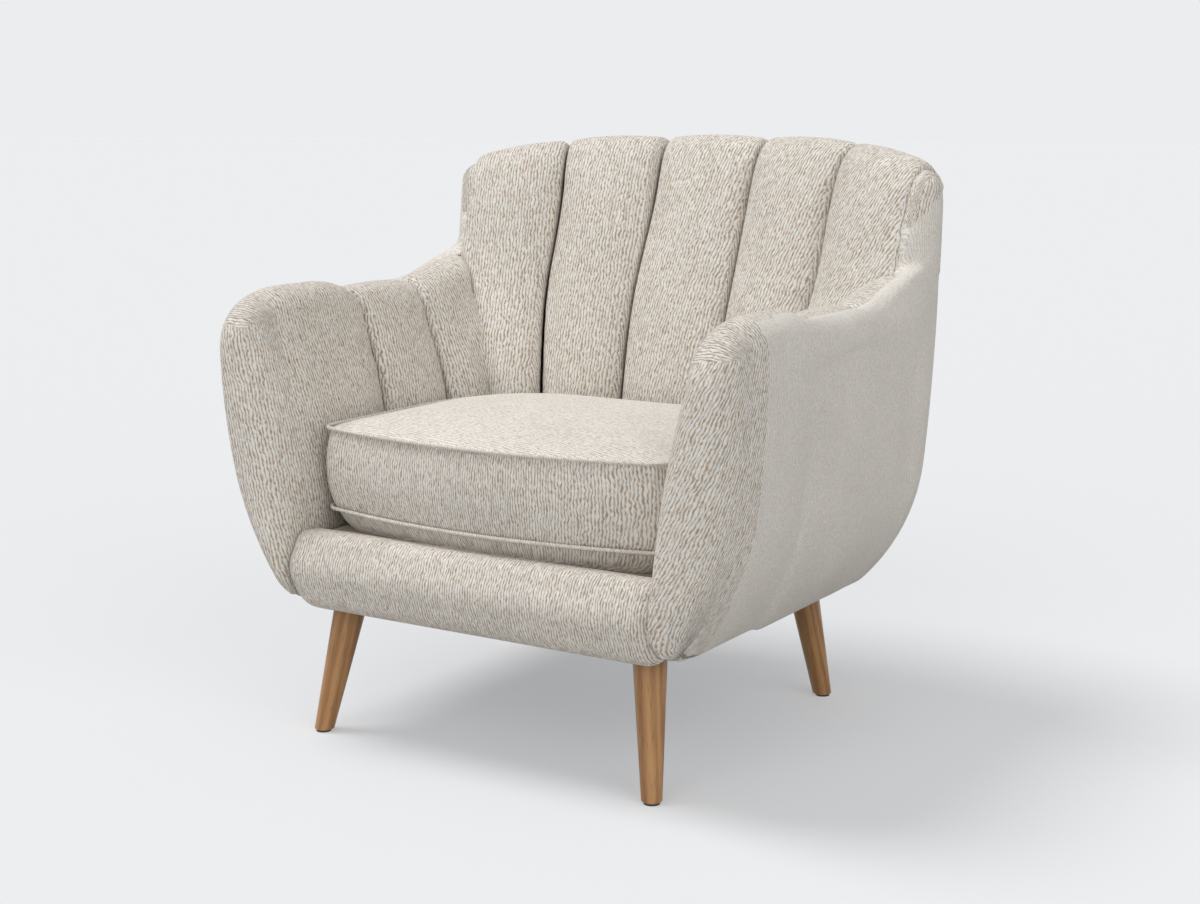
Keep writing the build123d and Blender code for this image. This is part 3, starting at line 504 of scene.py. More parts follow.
def channel_end(number, places, facing):
    """Points on the end faces of a back channel, and their cloth, which runs straight up."""
    _, _, centre, sideways, rearward = channel_plan(number)
    chosen = np.abs(facing[:, :2] @ sideways) > END_FACING
    across = np.sign(facing[:, 0]) * ((places[:, :2] - centre) @ rearward)
    across = across + CHANNEL_SHIFT * number + END_SHIFT - CHANNEL_LEAN[number - 1] * places[:, 2]
    return chosen, (across, places[:, 2])


def channel_threads(number, places):
    """Metres across and along the cloth of a back channel, on the channel and round its outer edge."""
    own, middle, centre, sideways, rearward = channel_plan(number)
    side = (places[:, :2] - centre) @ sideways
    back = (places[:, :2] - centre) @ rearward
    crest = (own[own[:, 2] > own[:, 2].max() - 0.004][:, :2] - centre).mean(0) @ rearward
    level = own[:, 2].max() - CREST_DROP
    along = over_roll(back, places[:, 2], crest, level, CREST_REACH)
    edge = np.abs((middle - centre) @ sideways).max()
    beyond = np.maximum(0, np.abs(side) - edge + 0.004)
    return side + CHANNEL_SHIFT * number + np.sign(side) * 1.5 * beyond, along


def middle_of(out, z, step=0.02):
    """Middle of a leaning shape's width at each point's level."""
    levels = np.arange(z.min(), z.max() + step, step)
    found = []
    for level in levels:
        near = out[np.abs(z - level) < step]
        found.append((near.min() + near.max()) / 2)
    return np.interp(z, levels, found)


def over_roll(outward, up, centre, level, reach):
    """Distance along a cloth that climbs a face, rolls over a top and goes down behind it."""
    turn = np.arctan2(up - level, centre - outward)
    below = np.where(outward < centre, up, 2 * level + math.pi * reach - up)
    return np.where(up > level, level + reach * turn, below)


def round_plan(x, y):
    """Distance round the outside of the chair in plan, from the side round the rear corner to the back."""
    side = np.abs(x)
    turn = np.arctan2(y - CORNER[1], side - CORNER[0])
    corner = CORNER[1] + CORNER_REACH * turn
    rear = CORNER[1] + CORNER_REACH * math.pi / 2 + (CORNER[0] - side)
    found = np.where(y <= CORNER[1], y, np.where(side > CORNER[0], corner, rear))
    return found * np.where(x < 0, -1, 1) + np.where(x < 0, LEFT_SHIFT, 0)


def round_cushion(places):
    """Distance round the sides of the seat cushion."""
    return np.arctan2(places[:, 0], -(places[:, 1] - CUSHION_CENTRE)) * CUSHION_REACH


# Material helpers


def clear_tree(owner):
    """Empty node tree of a material or a world."""
    owner.use_nodes = True
    owner.node_tree.nodes.clear()
    return owner.node_tree


def put(tree, kind, settings=None, **sockets):
    """Adds a node, sets its properties and fills or links its inputs.
    A socket is named with _ for a space, or by in and its number."""
    made = tree.nodes.new(kind)
    for key, value in (settings or {}).items():
        setattr(made, key, value)
    for key, value in sockets.items():
        if key.startswith("in") and key[2:].isdigit():
            target = made.inputs[int(key[2:])]
        else:
            target = made.inputs[key.replace("_", " ")]
        if isinstance(value, bpy.types.NodeSocket):
            tree.links.new(value, target)
        else:
            target.default_value = value
    return made


def new_group(name, inputs, outputs):
    """Shader node group with named sockets, and its input and output nodes."""
    group = bpy.data.node_groups.new(name, "ShaderNodeTree")
    for label, kind, default in inputs:
        socket = group.interface.new_socket(label, in_out="INPUT", socket_type=kind)
        if default is not None:
            socket.default_value = default
    for label, kind in outputs:
        group.interface.new_socket(label, in_out="OUTPUT", socket_type=kind)
    return group, group.nodes.new("NodeGroupInput"), group.nodes.new("NodeGroupOutput")


def ramp(tree, factor, *stops):
    """Colour ramp through (place, colour) stops."""
    made = put(tree, "ShaderNodeValToRGB", in0=factor)
    marks = made.color_ramp.elements
    while len(marks) < len(stops):
        marks.new(0.5)
    for mark, (place, colour) in zip(marks, stops):
        mark.position = place
        mark.color = (*colour, 1)
    return made.outputs["Color"]


def maths(tree, operation, first, second=0.0, clamp=False):
    """Math node's value."""
    made = put(tree, "ShaderNodeMath", {"operation": operation, "use_clamp": clamp}, in0=first, in1=second)
    return made.outputs[0]


def blended(tree, factor, first, second, kind="MIX"):
    """Mix of two colours."""
    made = put(tree, "ShaderNodeMix", {"data_type": "RGBA", "blend_type": kind})
    for index, value in ((0, factor), (6, first), (7, second)):
        if isinstance(value, bpy.types.NodeSocket):
            tree.links.new(value, made.inputs[index])
        else:
            made.inputs[index].default_value = value if index == 0 else (*value, 1)
    return made.outputs[2]


def principled(material, tree, colour, roughness, normal, **plain):
    """Principled shader and output; plain values are set on its own sockets."""
    shader = put(tree, "ShaderNodeBsdfPrincipled")
    for target, value in (("Base Color", colour), ("Roughness", roughness), ("Normal", normal)):
        if isinstance(value, bpy.types.NodeSocket):
            tree.links.new(value, shader.inputs[target])
        else:
            shader.inputs[target].default_value = value
    for key, value in plain.items():
        shader.inputs[key.replace("_", " ")].default_value = value
    put(tree, "ShaderNodeOutputMaterial", Surface=shader.outputs[0])
    return material


def bump(tree, height, distance):
    """Normal from a height."""
    return put(tree, "ShaderNodeBump", Height=height, Distance=distance, Strength=1.0).outputs[0]


def weighed(tree, *terms):
    """Sum of (value, weight) terms."""
    total = None
    for value, weight in terms:
        part = maths(tree, "MULTIPLY", value, weight)
        total = part if total is None else maths(tree, "ADD", total, part)
    return total


def mapped(tree, value, low, high, start=0.0, end=1.0):
    """Value moved from one range to another, and held at its ends."""
    return put(tree, "ShaderNodeMapRange", Value=value, in1=low, in2=high, in3=start, in4=end).outputs[0]


def seen_directly(tree):
    """1 for rays that show a surface, straight on, in a reflection or through something clear."""
    rays = put(tree, "ShaderNodeLightPath")
    seen = maths(tree, "MAXIMUM", rays.outputs["Is Camera Ray"], rays.outputs["Is Glossy Ray"])
    return maths(tree, "MAXIMUM", seen, rays.outputs["Is Transmission Ray"])


def rib_group(settings):
    """Short wavy ribs of a crepe cloth, from metres across and along the threads."""
    if "ribbed cloth" in bpy.data.node_groups:
        return bpy.data.node_groups["ribbed cloth"]
    group, given, result = new_group(
        "ribbed cloth",
        [
            ("Thread", "NodeSocketVector", None),
            ("Rib Width", "NodeSocketFloat", settings.rib_width),
            ("Rib Length", "NodeSocketFloat", settings.rib_length),
            ("Wander", "NodeSocketFloat", 0.9),
            ("Pale", "NodeSocketColor", (*settings.cloth_pale, 1)),
            ("Dark", "NodeSocketColor", (*settings.painted_valley_shade, 1)),
            ("Contrast", "NodeSocketFloat", 1.0),
        ],
        [("Color", "NodeSocketColor"), ("Height", "NodeSocketFloat"), ("Roughness", "NodeSocketFloat")],
    )

    def noise(place, **sockets):
        flat = {"noise_dimensions": "2D"}
        return put(group, "ShaderNodeTexNoise", flat, Vector=place, **sockets).outputs["Fac"]

    cloth = given.outputs["Thread"]
    thread = put(group, "ShaderNodeSeparateXYZ", in0=cloth)
    # Rib and length numbers, swaying slowly from side to side
    sway = maths(group, "SUBTRACT", noise(cloth, Scale=38.0, Detail=2.0), 0.5)
    sway = maths(group, "MULTIPLY", sway, given.outputs["Wander"])
    across = maths(group, "DIVIDE", thread.outputs["X"], given.outputs["Rib Width"])
    across = maths(group, "ADD", across, maths(group, "MULTIPLY", sway, 5.0))
    along = maths(group, "DIVIDE", thread.outputs["Y"], given.outputs["Rib Length"])
    place = put(group, "ShaderNodeCombineXYZ", in0=across, in1=along).outputs[0]
    # Height from streaks, kinked waves and cells that break the ribs up, with a fine grain on top
    streak = noise(place, Scale=1.0, Detail=1.2, Roughness=0.5, Distortion=0.3)
    streak = mapped(group, streak, 0.32, 0.68)
    cells = put(
        group,
        "ShaderNodeTexVoronoi",
        {"voronoi_dimensions": "2D", "feature": "F1"},
        Vector=place,
        Scale=0.8,
        Randomness=1.0,
    )
    ridge = maths(group, "SUBTRACT", 1.0, cells.outputs["Distance"], clamp=True)
    kink = noise(place, Scale=0.7, Detail=1.0)
    phase = maths(group, "ADD", across, maths(group, "MULTIPLY", kink, 1.5))
    wave = maths(group, "SINE", maths(group, "MULTIPLY", phase, math.pi))
    wave = mapped(group, wave, -1.0, 1.0)
    fine = maths(group, "SUBTRACT", noise(cloth, Scale=2600.0, Detail=2.0), 0.5)
    height = weighed(group, (streak, 0.18), (wave, 0.50), (ridge, 0.32), (fine, 0.18))
    # Colour from the height, darkened with painted shade in the low valleys between the ribs, tinted in
    # flecks and shaded in wide patches
    valley_shade = maths(group, "SUBTRACT", 1.0, mapped(group, height, 0.18, 0.61))
    valley_shade = maths(group, "MULTIPLY", valley_shade, given.outputs["Contrast"])
    tone = maths(group, "SUBTRACT", 1.0, valley_shade, clamp=True)
    colour = blended(group, tone, given.outputs["Dark"], given.outputs["Pale"])
    cool = mapped(group, noise(cloth, Scale=170.0, Detail=3.0), 0.35, 0.65)
    tint = blended(group, cool, (0.90, 0.95, 1.0), (1.0, 0.975, 0.94))
    colour = blended(group, 1.0, colour, tint, "MULTIPLY")
    shade = mapped(group, noise(cloth, Scale=9.0, Detail=2.0), 0.3, 0.7, 0.975, 1.02)
    colour = blended(group, 1.0, colour, shade, "MULTIPLY")
    rough = mapped(group, height, 0.0, 1.0, 0.98, 0.8)
    group.links.new(colour, result.inputs["Color"])
    group.links.new(height, result.inputs["Height"])
    group.links.new(rough, result.inputs["Roughness"])
    return group


def cloth_material(name, settings, width=1.0, length=1.0, contrast=1.1, depth=0.0016, wander=0.6):
    """Upholstery cloth with ribs of a given size and depth."""
    if name in bpy.data.materials:
        return bpy.data.materials[name]
    material = bpy.data.materials.new(name)
    tree = clear_tree(material)
    thread = put(tree, "ShaderNodeAttribute", {"attribute_name": "thread"})
    ribs = put(tree, "ShaderNodeGroup", {"node_tree": rib_group(settings)})
    tree.links.new(thread.outputs["Vector"], ribs.inputs["Thread"])
    ribs.inputs["Rib Width"].default_value = settings.rib_width * width
    ribs.inputs["Rib Length"].default_value = settings.rib_length * length
    # Contrast sets how deep the painted shade in the valleys between the ribs is
    ribs.inputs["Contrast"].default_value = contrast
    ribs.inputs["Wander"].default_value = wander
    normal = bump(tree, ribs.outputs["Height"], depth)
    return principled(
        material,
        tree,
        ribs.outputs["Color"],
        ribs.outputs["Roughness"],
        normal,
        Specular_IOR_Level=0.12,
        Sheen_Weight=0.10,
        Sheen_Roughness=0.5,
        Sheen_Tint=(1, 0.97, 0.93, 1),
    )


def panel_cloth(settings):
    """The same cloth stretched over the outside, where its ribs are nearly flat."""
    return cloth_material(
        "panel_cloth", settings, width=0.8, length=0.4, contrast=0.5, depth=0.0011, wander=0.9
    )


def wood_group():
    """Growth rings, fine pores and slow colour change along a board or leg."""
    if "wood grain" in bpy.data.node_groups:
        return bpy.data.node_groups["wood grain"]
    group, given, result = new_group(
        "wood grain",
        [
            ("Place", "NodeSocketVector", None),
            ("Pale", "NodeSocketColor", (0.4, 0.2, 0.1, 1)),
            ("Dark", "NodeSocketColor", (0.2, 0.1, 0.05, 1)),
        ],
        [("Color", "NodeSocketColor"), ("Height", "NodeSocketFloat"), ("Roughness", "NodeSocketFloat")],
    )
    place = given.outputs["Place"]
    long = put(group, "ShaderNodeMapping", Vector=place, Scale=(1.0, 1.0, 0.06)).outputs[0]
    wave = put(
        group,
        "ShaderNodeTexWave",
        {"wave_type": "BANDS", "bands_direction": "DIAGONAL"},
        Vector=long,
        Scale=34.0,
        Distortion=5.0,
        Detail=3.0,
        Detail_Scale=1.6,
    ).outputs["Fac"]
    fibre = put(group, "ShaderNodeTexNoise", Vector=long, Scale=520.0, Detail=3.0).outputs["Fac"]
    slow = put(group, "ShaderNodeTexNoise", Vector=long, Scale=26.0, Detail=2.0).outputs["Fac"]
    tone = weighed(group, (wave, 0.42), (fibre, 0.38), (slow, 0.45))
    tone = mapped(group, tone, 0.25, 0.95)
    colour = blended(group, tone, given.outputs["Dark"], given.outputs["Pale"])
    pores = mapped(group, fibre, 0.30, 0.42, 0.72, 1.0)
    colour = blended(group, 1.0, colour, pores, "MULTIPLY")
    rough = mapped(group, tone, 0.0, 1.0, 0.12, -0.06)
    group.links.new(colour, result.inputs["Color"])
    group.links.new(pores, result.inputs["Height"])
    group.links.new(rough, result.inputs["Roughness"])
    return group


def wood_material(name, pale, dark, roughness, turn=(0, 0, 0), shift=0.0):
    """Wood with its grain along Z after a turn."""
    material = bpy.data.materials.new(name)
    tree = clear_tree(material)
    place = put(tree, "ShaderNodeTexCoord").outputs["Object"]
    moved = {"Rotation": turn, "Location": (shift, shift, 0)}
    place = put(tree, "ShaderNodeMapping", Vector=place, **moved).outputs[0]
    colours = {"Pale": (*pale, 1), "Dark": (*dark, 1)}
    grain = put(tree, "ShaderNodeGroup", {"node_tree": wood_group()}, Place=place, **colours)
    rough = maths(tree, "ADD", grain.outputs["Roughness"], roughness)
    normal = bump(tree, grain.outputs["Height"], 0.0002)
    gloss = {"Specular_IOR_Level": 0.4, "Coat_Weight": 0.15}
    return principled(material, tree, grain.outputs["Color"], rough, normal, **gloss)


def speckled_material(name, pale, dark, scale, roughness, depth, metallic=0.0):
    """Even finish with a fine grain in its colour, gloss and surface."""
    material = bpy.data.materials.new(name)
    tree = clear_tree(material)
    place = put(tree, "ShaderNodeTexCoord").outputs["Object"]
    fine = put(tree, "ShaderNodeTexNoise", Vector=place, Scale=scale, Detail=3.0).outputs["Fac"]
    colour = ramp(tree, fine, (0.35, dark), (0.65, pale))
    rough = mapped(tree, fine, 0.0, 1.0, roughness + 0.08, roughness - 0.08)
    return principled(material, tree, colour, rough, bump(tree, fine, depth), Metallic=metallic)


def woven_material(name, dark, pale, scale):
    """Plain woven tape or lining."""
    material = bpy.data.materials.new(name)
    tree = clear_tree(material)
    place = put(tree, "ShaderNodeTexCoord").outputs["Object"]
    bands = {"Vector": place, "Scale": scale / 6, "Distortion": 0.6}
    warp = put(tree, "ShaderNodeTexWave", {"bands_direction": "X"}, **bands)
    weft = put(tree, "ShaderNodeTexWave", {"bands_direction": "Z"}, **bands)
    both = maths(tree, "MULTIPLY", warp.outputs["Fac"], weft.outputs["Fac"])
    colour = ramp(tree, both, (0.1, dark), (0.8, pale))
    return principled(material, tree, colour, 0.9, bump(tree, both, 0.0004), Specular_IOR_Level=0.15)


def paint(node, material):
    """Gives a CAD node its finish."""
    for slot in NODES[node].material_slots:
        slot.material = material


# Pieces


class ARMCHAIR_OT_back_channels(bpy.types.Operator):
    """Pads the five back channels and rolls their cloth over the crest"""

    bl_idname = "armchair.back_channels"
    bl_label = "Back channels"

    def execute(self, context):
        settings = context.scene.armchair
        material = cloth_material("channel_cloth", settings)
        for number in CHANNELS:
            node = f"back_channel_{number}"
            piece = copy_of(f"padded_{node}", node)
            remade(piece, settings.grain, 5)
            places = points_of(piece.data)
            facing = normals_of(piece.data)
            across, along = channel_threads(number, places)
            side = across - CHANNEL_SHIFT * number
            outward = np.maximum(-facing[:, 1], facing[:, 2])
            edge = np.clip((np.abs(side) / np.abs(side).max() - 0.62) / 0.25, 0, 1)
            held = np.clip(np.maximum(edge, 1 - np.clip(outward * 2, 0, 1)), 0, 1)
            filled(piece, settings, held, settings.channel_swell)
            leaning = (across - CHANNEL_LEAN[number - 1] * along, along)
            lay_threads(piece, leaning, channel_end(number, places, facing))
            finished(piece, "chair", material, [node])
        return {"FINISHED"}


class ARMCHAIR_OT_arms(bpy.types.Operator):
    """Pads the arm rolls and the channels inside the arms"""

    bl_idname = "armchair.arms"
    bl_label = "Arms"

    def execute(self, context):
        settings = context.scene.armchair
        material = cloth_material("arm_cloth", settings)
        for side in SIDES:
            sign = -1 if side == "left" else 1
            shift = 2.1 + 0.8 * sign
            for part in ("arm_roll", "arm_channel_front", "arm_channel_rear"):
                node = f"{side}_{part}"
                bridges = []
                if part == "arm_channel_rear":
                    back = "back_channel_1" if side == "left" else "back_channel_5"
                    bridges = [(node, tucked_beside(back, sign), back, tucked_beside(node, sign))]
                piece = copy_of(f"padded_{node}", node, bridges=bridges)
                remade(piece, settings.grain, 6)
                places = points_of(piece.data)
                facing = normals_of(piece.data)
                out = sign * places[:, 0]
                y = places[:, 1]
                z = places[:, 2]
                lift = np.clip(y / ARM_RISE_LENGTH, 0, 1) ** 2 * ARM_RISE
                over = over_roll(out, z - lift, ARM_CENTRE, ARM_TOP_CENTRE, ARM_TOP_REACH)
                if part == "arm_roll":
                    quarter = NOSE_REACH * math.pi / 2
                    off = out - middle_of(out, z)
                    turn = np.arctan2(off, NOSE_CENTRE - y)
                    inner = -quarter - (y - NOSE_CENTRE)
                    beside = np.where(off < 0, inner, -inner)
                    round_nose = np.where(y < NOSE_CENTRE, NOSE_REACH * turn, beside)
                    dip = np.arctan2(NOSE_CENTRE - y, z - ARM_TOP_CENTRE + 0.012)
                    tip = np.where(y < NOSE_CENTRE, -quarter + NOSE_REACH * dip, inner)
                    raised = z > ARM_TOP_CENTRE - 0.004
                    crown = raised & ((facing[:, 2] > 0.2) | (facing[:, 1] < -0.4))
                    ahead = np.clip((NOSE_CENTRE + 0.03 - y) / 0.06, 0, 1)
                    straight = ARM_TOP_CENTRE + ARM_TOP_REACH * math.pi / 2 + out - ARM_CENTRE
                    over = over + (straight - over) * ahead
                    panel_edge = NOSE_CENTRE + 0.028 + 0.25 * np.maximum(0.30 - z, 0)
                    flank = (sign * facing[:, 0] > 0.55) & (y > panel_edge)
                    nose = (round_nose + shift - NOSE_LEAN[side] * z, z)
                    panel = (round_plan(places[:, 0], y), z)
                    seam = (facing[:, 1] > SEAM_FACING, (out + shift, z))
                    lay_threads(piece, nose, (crown, (tip + shift, over)), (flank, panel), seam)
                else:
                    seam = (np.abs(facing[:, 1]) > SEAM_FACING, (out + shift, z))
                    lay_threads(piece, (shift - y, over), seam)
                    held = np.clip(1 - 2 * np.maximum(-sign * facing[:, 0], facing[:, 2]), 0, 1)
                    filled(piece, settings, held, settings.channel_swell * 0.6)
                finished(piece, "chair", material, [node])
                if part == "arm_roll":
                    piece.data.materials.append(panel_cloth(settings))
                    choose_material(piece.data, flank, 1)
        return {"FINISHED"}


class ARMCHAIR_OT_outside(bpy.types.Operator):
    """Stretches the plain outside covers over the arms, wings and back"""

    bl_idname = "armchair.outside"
    bl_label = "Outside covers"

    def execute(self, context):
        settings = context.scene.armchair
        material = panel_cloth(settings)
        for side, channel in zip(SIDES, (1, 5)):
            sign = -1 if side == "left" else 1
            own = [f"{side}_outside_arm", f"{side}_wing_panel"]
            arms = [f"{side}_arm_channel_front", f"{side}_arm_channel_rear"]
            under = [f"{side}_arm_roll", f"back_channel_{channel}", "outside_back"]
            lip = rear_lip(channel, END_LIP_REACH)
            # Hollows that the cover runs straight over: wing and channel, wing and crest, the rear of the
            # arm, and the seams along the top of the arm
            bridges = [
                (own[1], beyond(sign, 0), under[1], beyond(sign, 0.374)),
                (own[1], beyond(sign, 0, height=0.76), under[1], lambda p: lip(p) & (sign * p[:, 0] > 0.28)),
                (own[0], beyond(sign, 0, 0.12, 0.56), arms[1], beyond(sign, 0.385)),
                (under[0], lapped(sign, -0.30), arms[0], lapped(sign, -0.5)),
                (arms[0], lapped(sign, -0.5), arms[1], lapped(sign, -0.5, 0.06)),
            ]
            piece = copy_of(f"cloth_{side}_side", *own, *arms, *under, bridges=bridges)
            remade(piece, 0.0055, 16)
            places = points_of(piece.data)
            facing = normals_of(piece.data)
            shown = cover_share(piece, own, arms, under, sign, facing)
            lift = (-COVER_TUCK + COVER_RISE * shown)[:, None]
            move_points(piece.data, places + facing * lift)
            junction = (places[:, 1] > 0.10) & (places[:, 2] > ARM_TOP_CENTRE + 0.02)
            kept = (shown > 0.03) & (((facing * away(places)).sum(1) > -0.35) | junction)
            cut_to_sheet(piece, kept, COVER_THICKNESS)
            places = points_of(piece.data)
            facing = normals_of(piece.data)
            wing_edge = 0.160 + 0.95 * (places[:, 2] - 0.70)
            wing = (places[:, 2] > 0.675) & (places[:, 1] < wing_edge)
            inward = np.clip(ARM_CENTRE + 0.030 - sign * places[:, 0], 0, 0.08)
            inward = inward * ((places[:, 2] > ARM_TOP_CENTRE - 0.02) & (places[:, 1] < CORNER[1]))
            plain = (round_plan(places[:, 0], places[:, 1]), places[:, 2] + inward)
            across, along = channel_threads(channel, places)
            rolled = (across - CHANNEL_LEAN[channel - 1] * along, along)
            end, upright = channel_end(channel, places, facing)
            lay_threads(piece, plain, (wing, rolled), (wing & end, upright))
            finished(piece, "chair", material, own)
            piece.data.materials.append(cloth_material("channel_cloth", settings))
            choose_material(piece.data, wing, 1)
        bridges = []
        for number in CHANNELS:
            lip = rear_lip(number, END_LIP_REACH if number in (1, 5) else LIP_REACH)
            bridges.append(("outside_back", below_channel(number), f"back_channel_{number}", lip))
        piece = copy_of("cloth_outside_back", "outside_back", bridges=bridges)
        remade(piece, 0.0042, 5)
        places = points_of(piece.data)
        lay_threads(piece, (round_plan(places[:, 0], places[:, 1]), places[:, 2]))
        finished(piece, "chair", material, ["outside_back"], subdivide=0)
        return {"FINISHED"}


class ARMCHAIR_OT_front_border(bpy.types.Operator):
    """Pads the rolled border under the cushion"""

    bl_idname = "armchair.front_border"
    bl_label = "Front border"

    def execute(self, context):
        settings = context.scene.armchair
        material = cloth_material("border_cloth", settings, width=0.84)
        piece = copy_of("padded_front_border", "front_border")
        remade(piece, 0.0045, 5)
        places = points_of(piece.data)
        low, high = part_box("front_border")
        middle = low.y + 0.055
        along = over_roll(places[:, 1], places[:, 2], middle, high.z - 0.045, 0.05)
        lay_threads(piece, (places[:, 0], along))
        finished(piece, "chair", material, ["front_border"])
        return {"FINISHED"}


class ARMCHAIR_OT_seat_cushion(bpy.types.Operator):
    """Fills the loose seat cushion, with its edges held by the piping"""

    bl_idname = "armchair.seat_cushion"
    bl_label = "Seat cushion"

    def execute(self, context):
        settings = context.scene.armchair
        material = cloth_material("cushion_cloth", settings, width=0.84)
        piece = copy_of("filled_cushion", "cushion_cover")
        remade(piece, 0.006, 3)
        places = points_of(piece.data)
        facing = normals_of(piece.data)
        seams = [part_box(f"cushion_piping_{which}") for which in ("top", "bottom")]
        # Held at the piping and where it lies on the deck, and partly held between the arms and the back
        held = np.zeros(len(places))
        rim = np.abs(facing[:, 2]) < 0.97
        for low, high in seams:
            near = np.abs(places[:, 2] - (low.z + high.z) / 2) < 0.007
            held[near & rim] = 1
        under = (facing[:, 2] < -0.3) & (places[:, 1] > -0.26)
        held[under] = 1
        rear = places[:, 1] > 0.02
        held[rear] = np.maximum(held[rear], 0.6)
        filled(piece, settings, held, settings.cushion_swell)
        soft = points_of(piece.data)
        below = np.clip((seams[1][0].z - 0.001 - soft[:, 2]) / 0.020, 0, 1)
        forward = np.clip((-0.20 - soft[:, 1]) / 0.10, 0, 1)
        soft[:, 2] -= settings.cushion_sag * below * forward
        move_points(piece.data, soft)
        level = np.abs(facing[:, 2]) > 0.75
        top = (places[:, 1] + 0.18 * places[:, 0], places[:, 0])
        lay_threads(piece, (round_cushion(places), places[:, 2]), (level, top))
        finished(piece, "cushion", material, ["cushion_cover"])
        # Painted light: the level faces take a copy of the cloth with less painted valley shade, so the top
        # of the cushion reads paler, as if lit from above
        piece.data.materials.append(cloth_material("cushion_top_cloth", settings, contrast=0.8, depth=0.0010))
        choose_material(piece.data, level, 1)
        return {"FINISHED"}


class ARMCHAIR_OT_piping(bpy.types.Operator):
    """Sews the piping round the cushion's edges"""

    bl_idname = "armchair.piping"
    bl_label = "Piping"

    def execute(self, context):
        settings = context.scene.armchair
        material = cloth_material("piping_cloth", settings, width=0.5, length=0.4, depth=0.0006)
        for which in ("top", "bottom"):
            node = f"cushion_piping_{which}"
            piece = copy_of(f"sewn_{node}", node)
            places = points_of(piece.data) - 0.0005 * normals_of(piece.data)
            move_points(piece.data, places)
            lay_threads(piece, (round_cushion(places) + 0.6 * places[:, 2], places[:, 2]))
            finished(piece, "cushion", material, [node], subdivide=0)
        return {"FINISHED"}


class ARMCHAIR_OT_inside(bpy.types.Operator):
    """Makes the foam, deck, lining, webbing and zip tape that the cover hides"""

    bl_idname = "armchair.inside"
    bl_label = "Inside soft pieces"

    def execute(self, context):
        foam = speckled_material("foam", (0.80, 0.74, 0.52), (0.66, 0.58, 0.36), 420.0, 0.95, 0.0008)
        core = copy_of("foam_core", "cushion_foam")
        remade(core, 0.010, 3)
        finished(core, "cushion", foam, ["cushion_foam"])
        deck = copy_of("padded_seat_deck", "seat_deck")
        remade(deck, 0.006, 2)
        # The deck's cloth runs on under the channels and up to the arm rolls, and closes the seat
        places = points_of(deck.data)
        past_rolls = np.clip((places[:, 1] + 0.126) / 0.02, 0.0, 1.0)
        places[:, 0] *= DECK_BESIDE + DECK_BEHIND * past_rolls
        places[:, 1] += DECK_REARWARD * np.maximum(places[:, 1] - CUSHION_CENTRE, 0.0)
        move_points(deck.data, places)
        ticking = woven_material("deck_ticking", (0.36, 0.31, 0.25), (0.52, 0.46, 0.39), 900.0)
        finished(deck, "chair", ticking, ["seat_deck"], subdivide=0)
        strap = woven_material("webbing", (0.16, 0.12, 0.09), (0.32, 0.26, 0.20), 700.0)
        webbing = copy_of("woven_back_webbing", "back_webbing")
        finished(webbing, "chair", strap, ["back_webbing"], subdivide=0)
        tape = woven_material("zip_tape", (0.52, 0.48, 0.42), (0.66, 0.62, 0.56), 1400.0)
        zip_tape = copy_of("sewn_zip_tape", "zip_tape")
        finished(zip_tape, "cushion", tape, ["zip_tape"], subdivide=0)
        lining = woven_material("lining", (0.018, 0.018, 0.02), (0.035, 0.035, 0.038), 900.0)
        cover = copy_of("stretched_dust_cover", "dust_cover")
        finished(cover, "chair", lining, ["dust_cover"], subdivide=0)
        return {"FINISHED"}


class ARMCHAIR_OT_legs(bpy.types.Operator):
    """Finishes the turned oak legs, with the grain along each leg"""

    bl_idname = "armchair.legs"
    bl_label = "Legs"

    def execute(self, context):
        settings = context.scene.armchair
        for number, node in enumerate(sorted(name for name in NODES if name.endswith("_leg"))):
            places = points_of(NODES[node].data)
            middle = places.mean(0)
            axis = Vector(np.linalg.svd(places - middle, full_matrices=False)[2][0])
            if axis.z < 0:
                axis = -axis
            turn = axis.rotation_difference(Vector((0, 0, 1))).to_euler()
            oak = (settings.oak_pale, settings.oak_dark)
            paint(node, wood_material(f"oak_{node}", *oak, 0.42, turn, 0.7 * number))
        return {"FINISHED"}


class ARMCHAIR_OT_fittings(bpy.types.Operator):
    """Finishes the frame timber, springs, fasteners, glides and zip slider"""

    bl_idname = "armchair.fittings"
    bl_label = "Frame and fittings"

    def execute(self, context):
        timber = wood_material("frame_timber", (0.56, 0.42, 0.27), (0.42, 0.29, 0.17), 0.75)
        by_slot = {"frame_timber": timber}
        for slot, pale, dark, scale, roughness, depth, metallic in (
            ("spring_steel", (0.30, 0.30, 0.31), (0.20, 0.20, 0.21), 260.0, 0.38, 0.0001, 1.0),
            ("plated_steel", (0.62, 0.61, 0.58), (0.50, 0.50, 0.49), 320.0, 0.32, 0.0001, 1.0),
            ("glide_plastic", (0.030, 0.030, 0.032), (0.022, 0.022, 0.023), 900.0, 0.55, 0.0002, 0.0),
            ("zip_metal", (0.55, 0.53, 0.49), (0.42, 0.40, 0.37), 500.0, 0.3, 0.0001, 1.0),
        ):
            by_slot[slot] = speckled_material(slot, pale, dark, scale, roughness, depth, metallic)
        for part in frame["record"]["subparts"]:
            if part["material_slot"] in by_slot:
                paint(part["node"], by_slot[part["material_slot"]])
        return {"FINISHED"}


